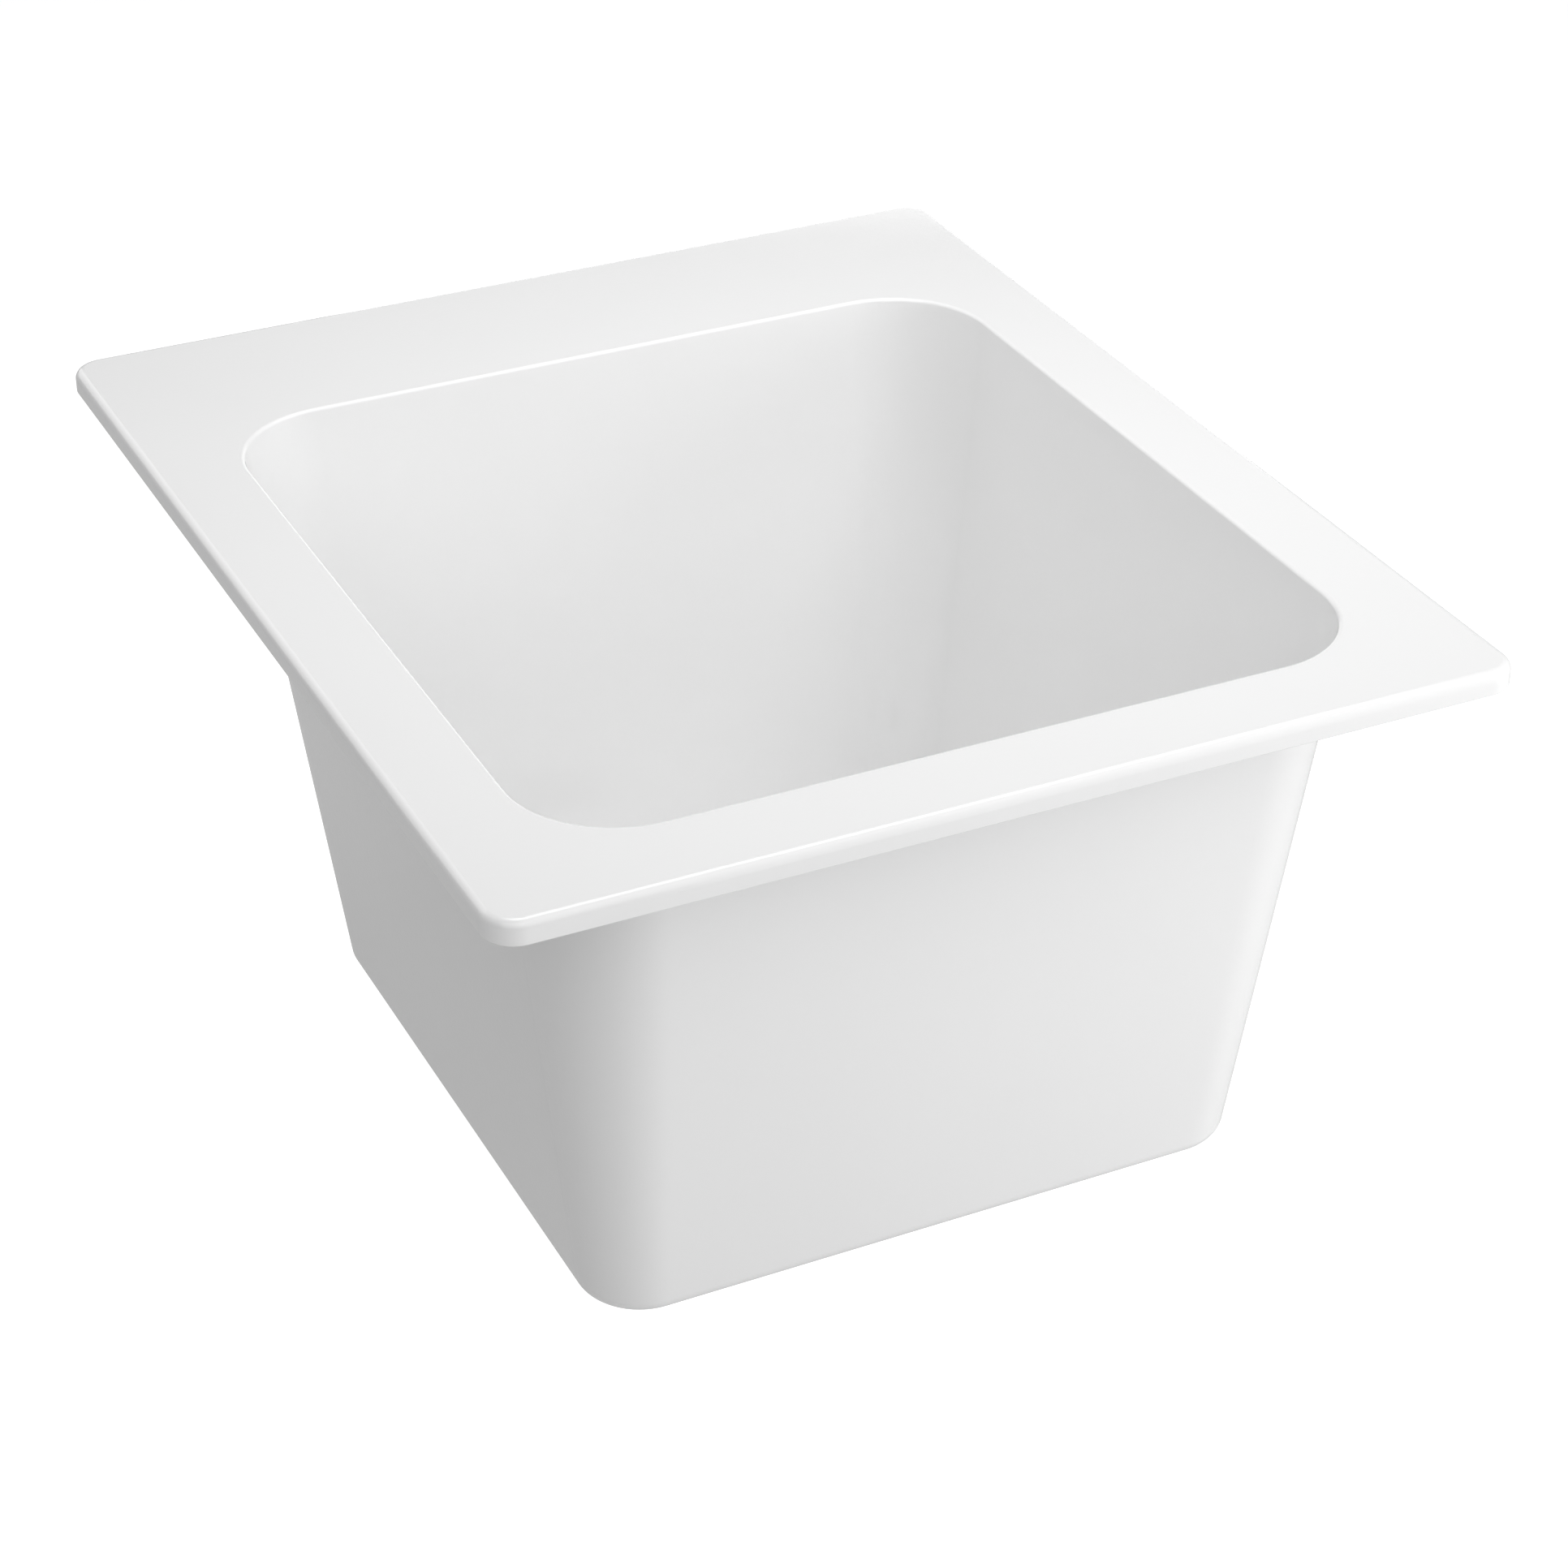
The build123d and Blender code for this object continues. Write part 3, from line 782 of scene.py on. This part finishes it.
turns = np.linspace(0, 2 * math.pi, nut_points + 1)
pitch_turn = 2 * math.pi / lug_count
off_lug = np.abs((turns + pitch_turn / 2) % pitch_turn - pitch_turn / 2)
lug = np.clip((lug_half_turn - off_lug) / lug_flank, 0, 1)
lug = lug_height * (1 - (1 - lug) ** 2)
nut_edge = (
    (nut_bore + 0.8, 0.0),
    (nut_outer - 1.2, 0.0),
    (nut_outer - 0.5 + 0.9 * lug, 0.1),
    (nut_outer - 0.15 + 0.97 * lug, 0.4),
    (nut_outer + lug, 1.0),
)
nut_rows = [(radius, nut_low + rise) for radius, rise in nut_edge]
nut_rows += [(radius, nut_top - rise) for radius, rise in reversed(nut_edge)]
nut_pitch = cup_thread["pitch"]
nut_rows += thread_rows(nut_bore, -0.6, nut_low + 0.8, nut_top - 0.8, nut_pitch, nut_points)[::-1]
locknut = object_from("locknut_cast", *turned(nut_rows, nut_points))

cast_brass = Finish("cast brass", Metallic=1.0)
sand = cast_brass.noise(650.0, 4.0, 0.6)
tarnish = cast_brass.ramp(cast_brass.noise(38.0, 5.0, 0.6), (0.4, 0.0), (0.72, 1.0))
cast_brass.surface(
    colour=cast_brass.colour((0.76, 0.58, 0.30), (0.42, 0.29, 0.13), 0.75 * tarnish + 0.25 * sand),
    roughness=0.34 + 0.14 * sand + 0.18 * tarnish,
    height=sand,
    distance=0.0003,
    strength=0.45,
)
fit(locknut, cast_brass, "locknut", "root")


# Post clip
# A small spring disc on the spider's hub, stamped in stainless steel with four slots.
# Its fingers grip the ball of the basket's post.

clip_bore = 3.75
clip_outer = 6.4
clip_top = -351.9
clip_points = 96
slot_depth = 1.3
slot_half_width = 0.2
slot_flank = 0.08

turns = np.linspace(0, 2 * math.pi, clip_points + 1)
slot = np.clip((slot_half_width - np.abs(np.sin(2 * turns))) / slot_flank, 0, 1)
finger = clip_bore + slot_depth * slot
post_clip_rows = [
    (finger + 0.1, cup_low),
    (clip_outer - 0.15, cup_low),
    (clip_outer, cup_low + 0.15),
    (clip_outer, clip_top - 0.15),
    (clip_outer - 0.15, clip_top),
    (finger + 0.1, clip_top),
    (finger, clip_top - 0.1),
    (finger, cup_low + 0.1),
]
post_clip = object_from("post_clip_spring", *turned(post_clip_rows, clip_points))
fit(post_clip, stainless, "post_clip", "root")


# Outlet washer
# A thick white polyethylene washer between the strainer's neck and the tailpiece's flange.

outlet_bore = 18.05
washer_outer = 23.0
washer_low = -370.0
outlet_rows = soften([
    (outlet_bore, washer_low),
    (washer_outer, washer_low),
    (washer_outer, neck_low),
    (outlet_bore, neck_low),
], 0.3, closed=True)
outlet_washer = object_from("outlet_washer_ring", *turned(outlet_rows))

washer_white = Finish("white polyethylene", IOR=1.5)
scuff = washer_white.noise(300.0, 4.0)
washer_white.surface(
    colour=washer_white.colour((0.80, 0.80, 0.77), (0.88, 0.88, 0.86), scuff),
    roughness=0.38 + 0.2 * scuff,
    height=scuff,
    distance=0.0001,
    strength=0.4,
)
fit(outlet_washer, washer_white, "outlet_washer", "root")


# Tailpiece
# A tube of thin chromed brass with a flange rolled at its top.
# The coupling nut pulls the flange up to the strainer's neck.

tail_radius = 19.05
tail_low = -442.0
tail_neck = 18.75
tail_neck_low = -377.0
tail_flange = 22.4
tail_flange_low = -372.0
tail_rows = soften([
    (outlet_bore, tail_low, 0.25),
    (tail_radius, tail_low, 0.35),
    (tail_radius, tail_neck_low, 0.6),
    (tail_neck, tail_neck_low + 0.6, 0.6),
    (tail_neck, tail_flange_low, 0.6),
    (tail_flange, tail_flange_low, 0.5),
    (tail_flange, washer_low, 0.5),
    (outlet_bore, washer_low, 0.5),
], 0.3, closed=True)
tailpiece = object_from("tailpiece_tube", *turned(tail_rows, 96))

chromed_brass = metal(
    "chromed brass",
    dark=(0.62, 0.63, 0.64),
    light=(0.80, 0.80, 0.80),
    marks_per_mm=1.6,
    smooth=0.05,
    rough=0.20,
    depth=0.00002,
)
fit(tailpiece, chromed_brass, "tailpiece", "root")


# Coupling nut
# A hexagon nut of chromed brass with bevelled ends, threaded inside.
# Its lip catches the tailpiece's flange and pulls it up to the neck.

nut_flats = 27.0
hexagon_points = 180
coupling_low = -375.0
coupling_middle = -366.0
coupling_top = -356.5
coupling_bore = 23.65
lip_bore = 19.2
bevel = ((27.6, 0.0), (28.8, 0.35), (29.9, 0.9), (30.8, 1.7))
bevel_reach = 30.95

turns = np.linspace(0, 2 * math.pi, hexagon_points + 1)
hexagon = nut_flats / np.cos((turns % (math.pi / 3)) - math.pi / 6)
end_hexagon = hexagon - 0.4
coupling_rows = soften([
    (coupling_bore + 0.7, tail_flange_low),
    (lip_bore, tail_flange_low),
    (lip_bore, coupling_low),
], 0.3)
bevel_rows = [(np.minimum(hexagon if rise else end_hexagon, radius), rise) for radius, rise in bevel]
coupling_rows += [(radii, coupling_low + rise) for radii, rise in bevel_rows]
coupling_rows.append((np.minimum(hexagon, bevel_reach), coupling_middle))
coupling_rows += [(radii, coupling_top - rise) for radii, rise in reversed(bevel_rows)]
coupling_rows.append((coupling_bore + 0.7, coupling_top))
coupling_rows += thread_rows(
    coupling_bore, -0.6, tail_flange_low + 0.8, coupling_top - 0.8, neck_thread["pitch"], hexagon_points
)[::-1]
coupling_nut = object_from("coupling_nut_hexagon", *turned(coupling_rows, hexagon_points))
fit(coupling_nut, chromed_brass, "coupling_nut", "root")


# Stopper
# A disc of black rubber under the basket, with a raised bead that seals on the strainer's floor.

post_hole = 3.05
stopper_low = -342.3
stopper_top = -338.3
stopper_radius = 26.0
bead_height = 0.6
stopper_rows = soften([
    (post_hole, stopper_low + bead_height, 0.2),
    (19.8, stopper_low + bead_height, 0.8),
    (21.4, stopper_low, 0.8),
    (24.2, stopper_low, 0.8),
    (stopper_radius, stopper_low + 1.6, 0.8),
    (stopper_radius - 0.6, stopper_top - 0.6, 0.6),
    (stopper_radius - 1.6, stopper_top, 0.5),
    (post_hole, stopper_top, 0.2),
], 0.4, closed=True)
stopper = object_from("stopper_disc", *turned(stopper_rows))
fit(stopper, black_rubber, "stopper", "basket")


# Basket post
# A stem turned from stainless steel.
# Its ball snaps through the post clip, and its collar carries the stopper.

ball_centre = -348.2
ball_radius = 3.4
post_neck = 2.2
post_collar = 5.2
post_radius = 3.0
post_top = -299.0
neck_angle = math.degrees(math.acos(post_neck / ball_radius))
post_rows = [(0.0, ball_centre - ball_radius)]
post_rows += bend(0.0, ball_centre, ball_radius, 18, -90, neck_angle)[1:]
post_rows += soften([
    (post_neck, ball_centre + 2.9),
    (post_neck, stopper_low - 1, 0.4),
    (post_collar, stopper_low - 1, 0.25),
    (post_collar, stopper_low, 0.25),
    (post_radius, stopper_low, 0.15),
    (post_radius, post_top, 0.5),
    (0.0, post_top),
], 0.3)
post = object_from("basket_post_stem", *turned(post_rows, 60, closed=False))
fit(post, stainless, "basket_post", "basket")


# Basket cup
# A cup pressed from 1 mm stainless sheet, with punched holes in its floor and wall.
# Its rim is turned out level. It sits on the stopper and is clamped by the retainer.

sheet = 1.0
basket_low = -338.3
basket_floor = 33.0
rim_low = -304.1
basket_rim_top = -302.5
basket_rim = 39.8
wall_top_radius = basket_rim - 1.6
hole_radius = 3.0
floor_bend = 1.3
floor_rings = (13.8, 21.0, 28.2)
floor_pitch = 8.8
floor_filling = (5.0, 7.5, 10.0, 17.5, 25.0)
wall_rows = 2
wall_pitch = 11.0
basket_points = 160
hole_points = 28
clear_of_holes = 0.7
seam_steps = 11


def circle(centre, radius, count=hole_points):
    """A circle on a flat sheet."""
    return about(centre, radius, np.arange(count) * 2 * math.pi / count, 0)[:, :2]


def punched(border, holes, filling):
    """Triangles of a flat sheet inside its border loops, with round holes left open."""
    flat = []
    edges = []
    for loop in border + [circle(centre, radius) for centre, radius in holes]:
        first = len(flat)
        flat += [Vector(spot) for spot in loop]
        edges += [(first + step, first + (step + 1) % len(loop)) for step in range(len(loop))]
    for spot in filling:
        if all(math.dist(spot, centre) > radius + clear_of_holes for centre, radius in holes):
            flat.append(Vector(spot))
    spots, triangles = delaunay_2d_cdt(flat, edges, [], 1, 1e-4)[0:3:2]
    kept = []
    for triangle in triangles:
        middle = sum((spots[corner] for corner in triangle), Vector((0, 0))) / 3
        if all(math.dist(middle, centre) > radius * 0.99 for centre, radius in holes):
            kept.append(tuple(triangle))
    return np.array([tuple(spot) for spot in spots]), kept


floor_holes = []
for radius in floor_rings:
    number = int(2 * math.pi * radius / floor_pitch)
    floor_holes += [(tuple(spot), hole_radius) for spot in circle((0, 0), radius, number)]
floor_edge_radius = basket_floor - floor_bend
filling = []
for radius in floor_filling:
    filling += [tuple(spot) for spot in circle((0, 0), radius, 48)]
floor_holes.append(((0.0, 0.0), post_hole))
floor_flat, floor_triangles = punched(
    [circle((0, 0), floor_edge_radius, basket_points)], floor_holes, filling
)
floor_spots = np.column_stack([floor_flat + drain_centre, np.full(len(floor_flat), basket_low)])

wall_slope = (wall_top_radius - basket_floor) / (rim_low - basket_low)
bend_top = basket_low + floor_bend
wall_end = rim_low - 1.0
wall_width = math.pi * (basket_floor + wall_top_radius)
wall_count = int(wall_width / wall_pitch)
wall_gap = wall_width / wall_count
hole_gap = (rim_low - basket_low - sheet) / (wall_rows + 1)
steps = np.arange(basket_points + 1) * wall_width / basket_points
levels = np.linspace(bend_top, wall_end, 17)
seam = seam_steps * steps[1] * (levels - bend_top) / (wall_end - bend_top)
# The flat wall is cut on a slant, so that its seam runs between the holes of both rows.
wall_holes = []
for row in range(wall_rows):
    level = basket_low + sheet + (row + 1) * hole_gap
    cut = np.interp(level, levels, seam)
    for hole in range(wall_count):
        across = (hole + row / 2) * wall_gap
        wall_holes.append(((across + wall_width * (across < cut), level), hole_radius))
outline = [(step, bend_top) for step in steps]
outline += [(wall_width + shift, level) for shift, level in zip(seam[1:-1], levels[1:-1])]
outline += [(step + seam[-1], wall_end) for step in steps[::-1]]
outline += [(shift, level) for shift, level in zip(seam[-2:0:-1], levels[-2:0:-1])]
filling = []
for shift, level in zip(seam[1:-1], levels[1:-1]):
    filling += [(step + shift, level) for step in steps[1:-1:2]]
wall_flat, wall_triangles = punched([np.array(outline)], wall_holes, filling)
wall_turns = wall_flat[:, 0] / wall_width * 2 * math.pi
wall_radii = basket_floor + (wall_flat[:, 1] - basket_low) * wall_slope
wall_spots = about(drain_centre, wall_radii, wall_turns, wall_flat[:, 1])

bend_rows = [(floor_edge_radius, basket_low)]
foot_radius = basket_floor + floor_bend * wall_slope
for share in np.linspace(0, 1, 7)[1:]:
    radius = (1 - share) ** 2 * floor_edge_radius + 2 * share * (1 - share) * basket_floor
    bend_rows.append((radius + share ** 2 * foot_radius, basket_low + share ** 2 * floor_bend))
rim_rows = [(basket_floor + (wall_end - basket_low) * wall_slope, wall_end)]
rim_rows += soften([
    (wall_top_radius - 0.05, rim_low - 0.3),
    (basket_rim, rim_low, 0.5),
    (basket_rim, basket_rim_top - 0.3, 0.5),
    (basket_rim - 0.9, basket_rim_top, 0.4),
], 0.4)
cup = object_from("basket_cup_punched", *joined(
    (floor_spots, floor_triangles),
    turned(bend_rows, basket_points, closed=False),
    (wall_spots, wall_triangles),
    turned(rim_rows, basket_points, closed=False),
))
thickness = cup.modifiers.new("sheet thickness", "SOLIDIFY")
thickness.thickness = sheet / 1000
thickness.offset = -1
eased = cup.modifiers.new("punched edges", "BEVEL")
eased.width = 0.00012
eased.segments = 2
eased.limit_method = "ANGLE"
eased.angle_limit = math.radians(50)
cup.modifiers.move(0, 2)
fit(cup, stainless, "basket_cup", "basket")


# Stopper retainer
# A small domed washer of spring steel, pushed down the post to clamp basket and stopper together.

retainer_low = -337.3
retainer_rise = 1.5
retainer_radius = 9.0
retainer_rows = soften([
    (post_hole, retainer_low + 0.5),
    (post_hole, retainer_low + retainer_rise),
    (5.2, retainer_low + retainer_rise, 1.5),
    (retainer_radius, retainer_low + 0.6, 0.4),
    (retainer_radius, retainer_low, 0.2),
    (retainer_radius - 1.4, retainer_low, 0.8),
], 0.25, closed=True)
retainer = object_from("stopper_retainer_washer", *turned(retainer_rows, 72))
fit(retainer, stainless, "stopper_retainer", "basket")


# Basket knob
# A mushroom knob of polished stainless steel, pressed on the post. It is the part that the hand pulls.

knob_low = -304.5
knob_top = -293.5
knob_radius = 12.0
knob_neck = 6.0
knob_neck_height = 3.7
socket_depth = 5.5
knob_rows = soften([
    (0.0, knob_low + socket_depth),
    (post_hole, knob_low + socket_depth, 0.3),
    (post_hole, knob_low, 0.3),
    (knob_neck, knob_low, 0.5),
    (knob_neck, knob_low + knob_neck_height, 1.4),
    (knob_radius - 0.6, knob_low + 5.2, 1.0),
    (knob_radius, knob_low + 6.0, 0.8),
    (knob_radius, knob_top - 2.4, 1.6),
    (9.6, knob_top - 0.3, 2.0),
    (5.0, knob_top - 0.02, 2.5),
    (0.0, knob_top),
], 0.3)
knob = object_from("basket_knob_mushroom", *turned(knob_rows, 96, closed=False))
polished_steel = metal(
    "polished steel",
    dark=(0.60, 0.60, 0.60),
    light=(0.78, 0.78, 0.78),
    marks_per_mm=3.0,
    smooth=0.07,
    rough=0.22,
    depth=0.00001,
)
fit(knob, polished_steel, "basket_knob", "basket")


# Hold-down clips
# Six clips of zinc-plated steel under the rim. A coarse screw goes up into each boss of the basin.
# It carries a washer and a pressed strap, whose raised end swings out and bites the worktop from below.

screw_points = 72
head_low = -19.5
head_top = -16.0
head_radius = 5.0
shank = 3.0
shank_thread = 0.5
screw_pitch = 2.0
thread_top = 3.5
screw_tip = 6.5
washer_bore = 3.05
washer_radius = 5.4
cross_half_width = 0.6
cross_reach = 2.5
cross_depth = 1.8
strap_half_width = 7.3
strap_reach = 32.0
strap_top = -12.3
plate_low = -14.8
strap_low = -16.3
strap_wall = 1.5
strap_hole = 3.3
ridge = 1.4

turns = np.linspace(0, 2 * math.pi, screw_points + 1)
folded = np.abs((turns + math.pi / 4) % (math.pi / 2) - math.pi / 4)
cross = np.minimum(cross_reach, cross_half_width / np.maximum(np.sin(folded), 0.05))
screw_rows = [
    (0.0, head_low + cross_depth),
    (0.55 * cross, head_low + cross_depth),
    (0.9 * cross, head_low + 0.5),
    (cross, head_low + 0.1),
    (cross + 0.12, head_low),
    (3.3, head_low),
]
screw_rows += soften([
    (3.4, head_low),
    (head_radius - 1.2, head_low, 0.8),
    (head_radius, head_low + 1.2, 0.8),
    (head_radius, head_top, 0.2),
    (shank, head_top, 0.2),
    (shank, boss_bottom - 0.5, 0.2),
    (shank - shank_thread, boss_bottom),
], 0.3)
screw_rows += thread_rows(shank, shank_thread, boss_bottom, thread_top, screw_pitch, screw_points)
screw_rows += soften([
    (shank - shank_thread, thread_top),
    (1.25, screw_tip - 0.3, 0.4),
    (0.0, screw_tip),
], 0.4)
washer_rows = soften([
    (washer_bore, head_top),
    (washer_radius, head_top),
    (washer_radius, plate_low),
    (washer_bore, plate_low),
], 0.2, closed=True)


def strap_outline(inset):
    """The strap's outline at an inset: half round behind the screw, straight sides and a square end."""
    half = strap_half_width - inset
    end = strap_reach - inset
    outline = bend(0.0, 0.0, half, 24, 90, 270)
    outline += [(end * share, -half) for share in np.linspace(0, 1, 9)[1:-1]]
    outline += [(end, -half + 2 * half * share) for share in np.linspace(0, 1, 17)]
    outline += [(end * share, half) for share in np.linspace(1, 0, 9)[1:-1]]
    return np.array(outline)


def strap_ring(inset, height, bite=0.0):
    """The outline at a height. Its end is raised by the bite."""
    outline = strap_outline(inset)
    heights = height + bite * np.clip((outline[:, 0] - (strap_reach - ridge)) / ridge, 0, 1)
    return np.column_stack([outline, heights])


def hole_ring(radius, height):
    """The screw's hole, with a point in line with each of the outline's."""
    across, along = strap_outline(0).T
    return about((0, 0), radius, np.arctan2(along, across), height)


strap_rings = [
    hole_ring(strap_hole, strap_top - 0.3),
    hole_ring(strap_hole + 0.3, strap_top),
    strap_ring(ridge + 0.6, strap_top),
    strap_ring(ridge, strap_top),
    strap_ring(0.45, strap_top, ridge),
    strap_ring(0.15, strap_top - 0.1, ridge),
    strap_ring(0.0, strap_top - 0.45, ridge),
    strap_ring(0.0, plate_low),
    strap_ring(0.0, strap_low + 0.3),
    strap_ring(0.3, strap_low),
    strap_ring(strap_wall - 0.3, strap_low),
    strap_ring(strap_wall, strap_low + 0.3),
    strap_ring(strap_wall, plate_low - 0.35),
    strap_ring(strap_wall + 0.35, plate_low),
    hole_ring(strap_hole + 0.3, plate_low),
    hole_ring(strap_hole, plate_low + 0.3),
]
strap_points = np.vstack(strap_rings)
strap_faces = skin_faces(len(strap_rings), len(strap_rings[0]))

zinc_plate = Finish("bright zinc", Metallic=1.0)
grains = {"Vector": zinc_plate.place, "Scale": 420.0}
spangle = zinc_plate.node("ShaderNodeTexVoronoi", {}, grains, "Color")
crystals = zinc_plate.noise(1.0, 0.0, 0.5, spangle)
white_rust = zinc_plate.ramp(zinc_plate.noise(160.0, 5.0, 0.7), (0.58, 0.0), (0.72, 1.0))
zinc_plate.surface(
    colour=zinc_plate.colour((0.58, 0.60, 0.63), (0.78, 0.79, 0.80), 0.7 * crystals + 0.3 * white_rust),
    roughness=0.22 + 0.16 * crystals + 0.3 * white_rust,
    height=crystals + 0.6 * white_rust,
    distance=0.00005,
    strength=0.5,
)

for name, (place, outward, reach) in clip_places.items():
    parked = math.radians(outward - 90)
    turn = np.array([[math.cos(parked), math.sin(parked)], [-math.sin(parked), math.cos(parked)]])
    clip_pieces = {
        "screw": turned(screw_rows, screw_points, (0, 0), closed=False),
        "washer": turned(washer_rows, 64, (0, 0)),
        "strap": (strap_points, strap_faces),
    }
    for piece, (spots, skin) in clip_pieces.items():
        moved = np.column_stack([spots[:, :2] @ turn + np.array(place), spots[:, 2]])
        made = object_from("hold_down_" + piece + "_" + name, moved, skin)
        fit(made, zinc_plate, "clip_" + piece + "_" + name, piece + "_" + name)


# Floor, light and camera
# The part stands on a plain pale studio floor that glows a little, under broad soft lamps.
# The camera has the photograph's viewing angle and framing.

floor_height = -0.4425
floor_reach = 40.0
floor_glow = 0.336
floor_white = 0.93
sky_glow = 0.1

floor_corners = [
    (across * floor_reach, along * floor_reach, floor_height)
    for across, along in ((-1, -1), (1, -1), (1, 1), (-1, 1))
]
floor_mesh = bpy.data.meshes.new("studio_floor")
floor_mesh.from_pydata(floor_corners, [], [(0, 1, 2, 3)])
studio_floor = bpy.data.objects.new("studio_floor", floor_mesh)
bpy.context.scene.collection.objects.link(studio_floor)
floor_pale = Finish(
    "floor pale",
    Base_Color=(0.35, 0.35, 0.35, 1),
    Roughness=0.8,
    Specular_IOR_Level=0.0,
    Emission_Strength=1.0,
)
seen = floor_pale.node("ShaderNodeLightPath", output="Is Camera Ray")
floor_pale.feed(
    floor_pale.shader.inputs["Emission Color"],
    floor_pale.colour([floor_glow] * 3, [floor_white] * 3, seen),
)
floor_mesh.materials.append(floor_pale.material)

world = bpy.data.worlds.new("pale sky")
pale_sky = Finish("pale sky", world)
seen = pale_sky.node("ShaderNodeLightPath", output="Is Camera Ray")
pale_sky.feed(pale_sky.shader.inputs["Color"], pale_sky.colour([sky_glow] * 3, [1.0] * 3, seen))
bpy.context.scene.world = world

# Each lamp's azimuth and elevation in degrees, distance and size in metres, and power in watts.
lamp_centre = Vector((0, 0, -0.1))
lamps = {
    "far_left": (240, 40, 2.6, 2.4, 24.3),
    "far_front": (300, 40, 2.6, 2.4, 10.6),
    "low_front": (300, 0, 1.3, 1.0, 3.73),
    "low_right": (330, 0, 1.3, 1.0, 6.0),
    "low_back": (60, 0, 1.3, 1.0, 3.5),
    "back_left": (120, 30, 1.3, 1.0, 3.53),
    "overhead": (0, 90, 1.05, 0.5, 3.33),
    "overhead_right": (0, 64.5, 1.163, 0.5, 4.07),
}
for name, (azimuth, elevation, distance, size, power) in lamps.items():
    light = bpy.data.lights.new("lamp_" + name, "AREA")
    light.size = size
    light.energy = power
    lamp = bpy.data.objects.new("lamp_" + name, light)
    level = math.cos(math.radians(elevation))
    aim = Vector((
        level * math.cos(math.radians(azimuth)),
        level * math.sin(math.radians(azimuth)),
        math.sin(math.radians(elevation)),
    ))
    lamp.location = lamp_centre + distance * aim
    lamp.rotation_euler = aim.to_track_quat("Z", "Y").to_euler()
    lamp.visible_camera = False
    bpy.context.scene.collection.objects.link(lamp)

camera = bpy.data.objects.new("camera", bpy.data.cameras.new("camera"))
camera.location = (-0.7415, -1.5996, 0.9141)
camera.rotation_euler = (math.radians(58.692), 0, math.radians(-25.566))
camera.data.lens = 87.465
bpy.context.scene.collection.objects.link(camera)
bpy.context.scene.camera = camera
bpy.context.scene.view_settings.view_transform = "Standard"
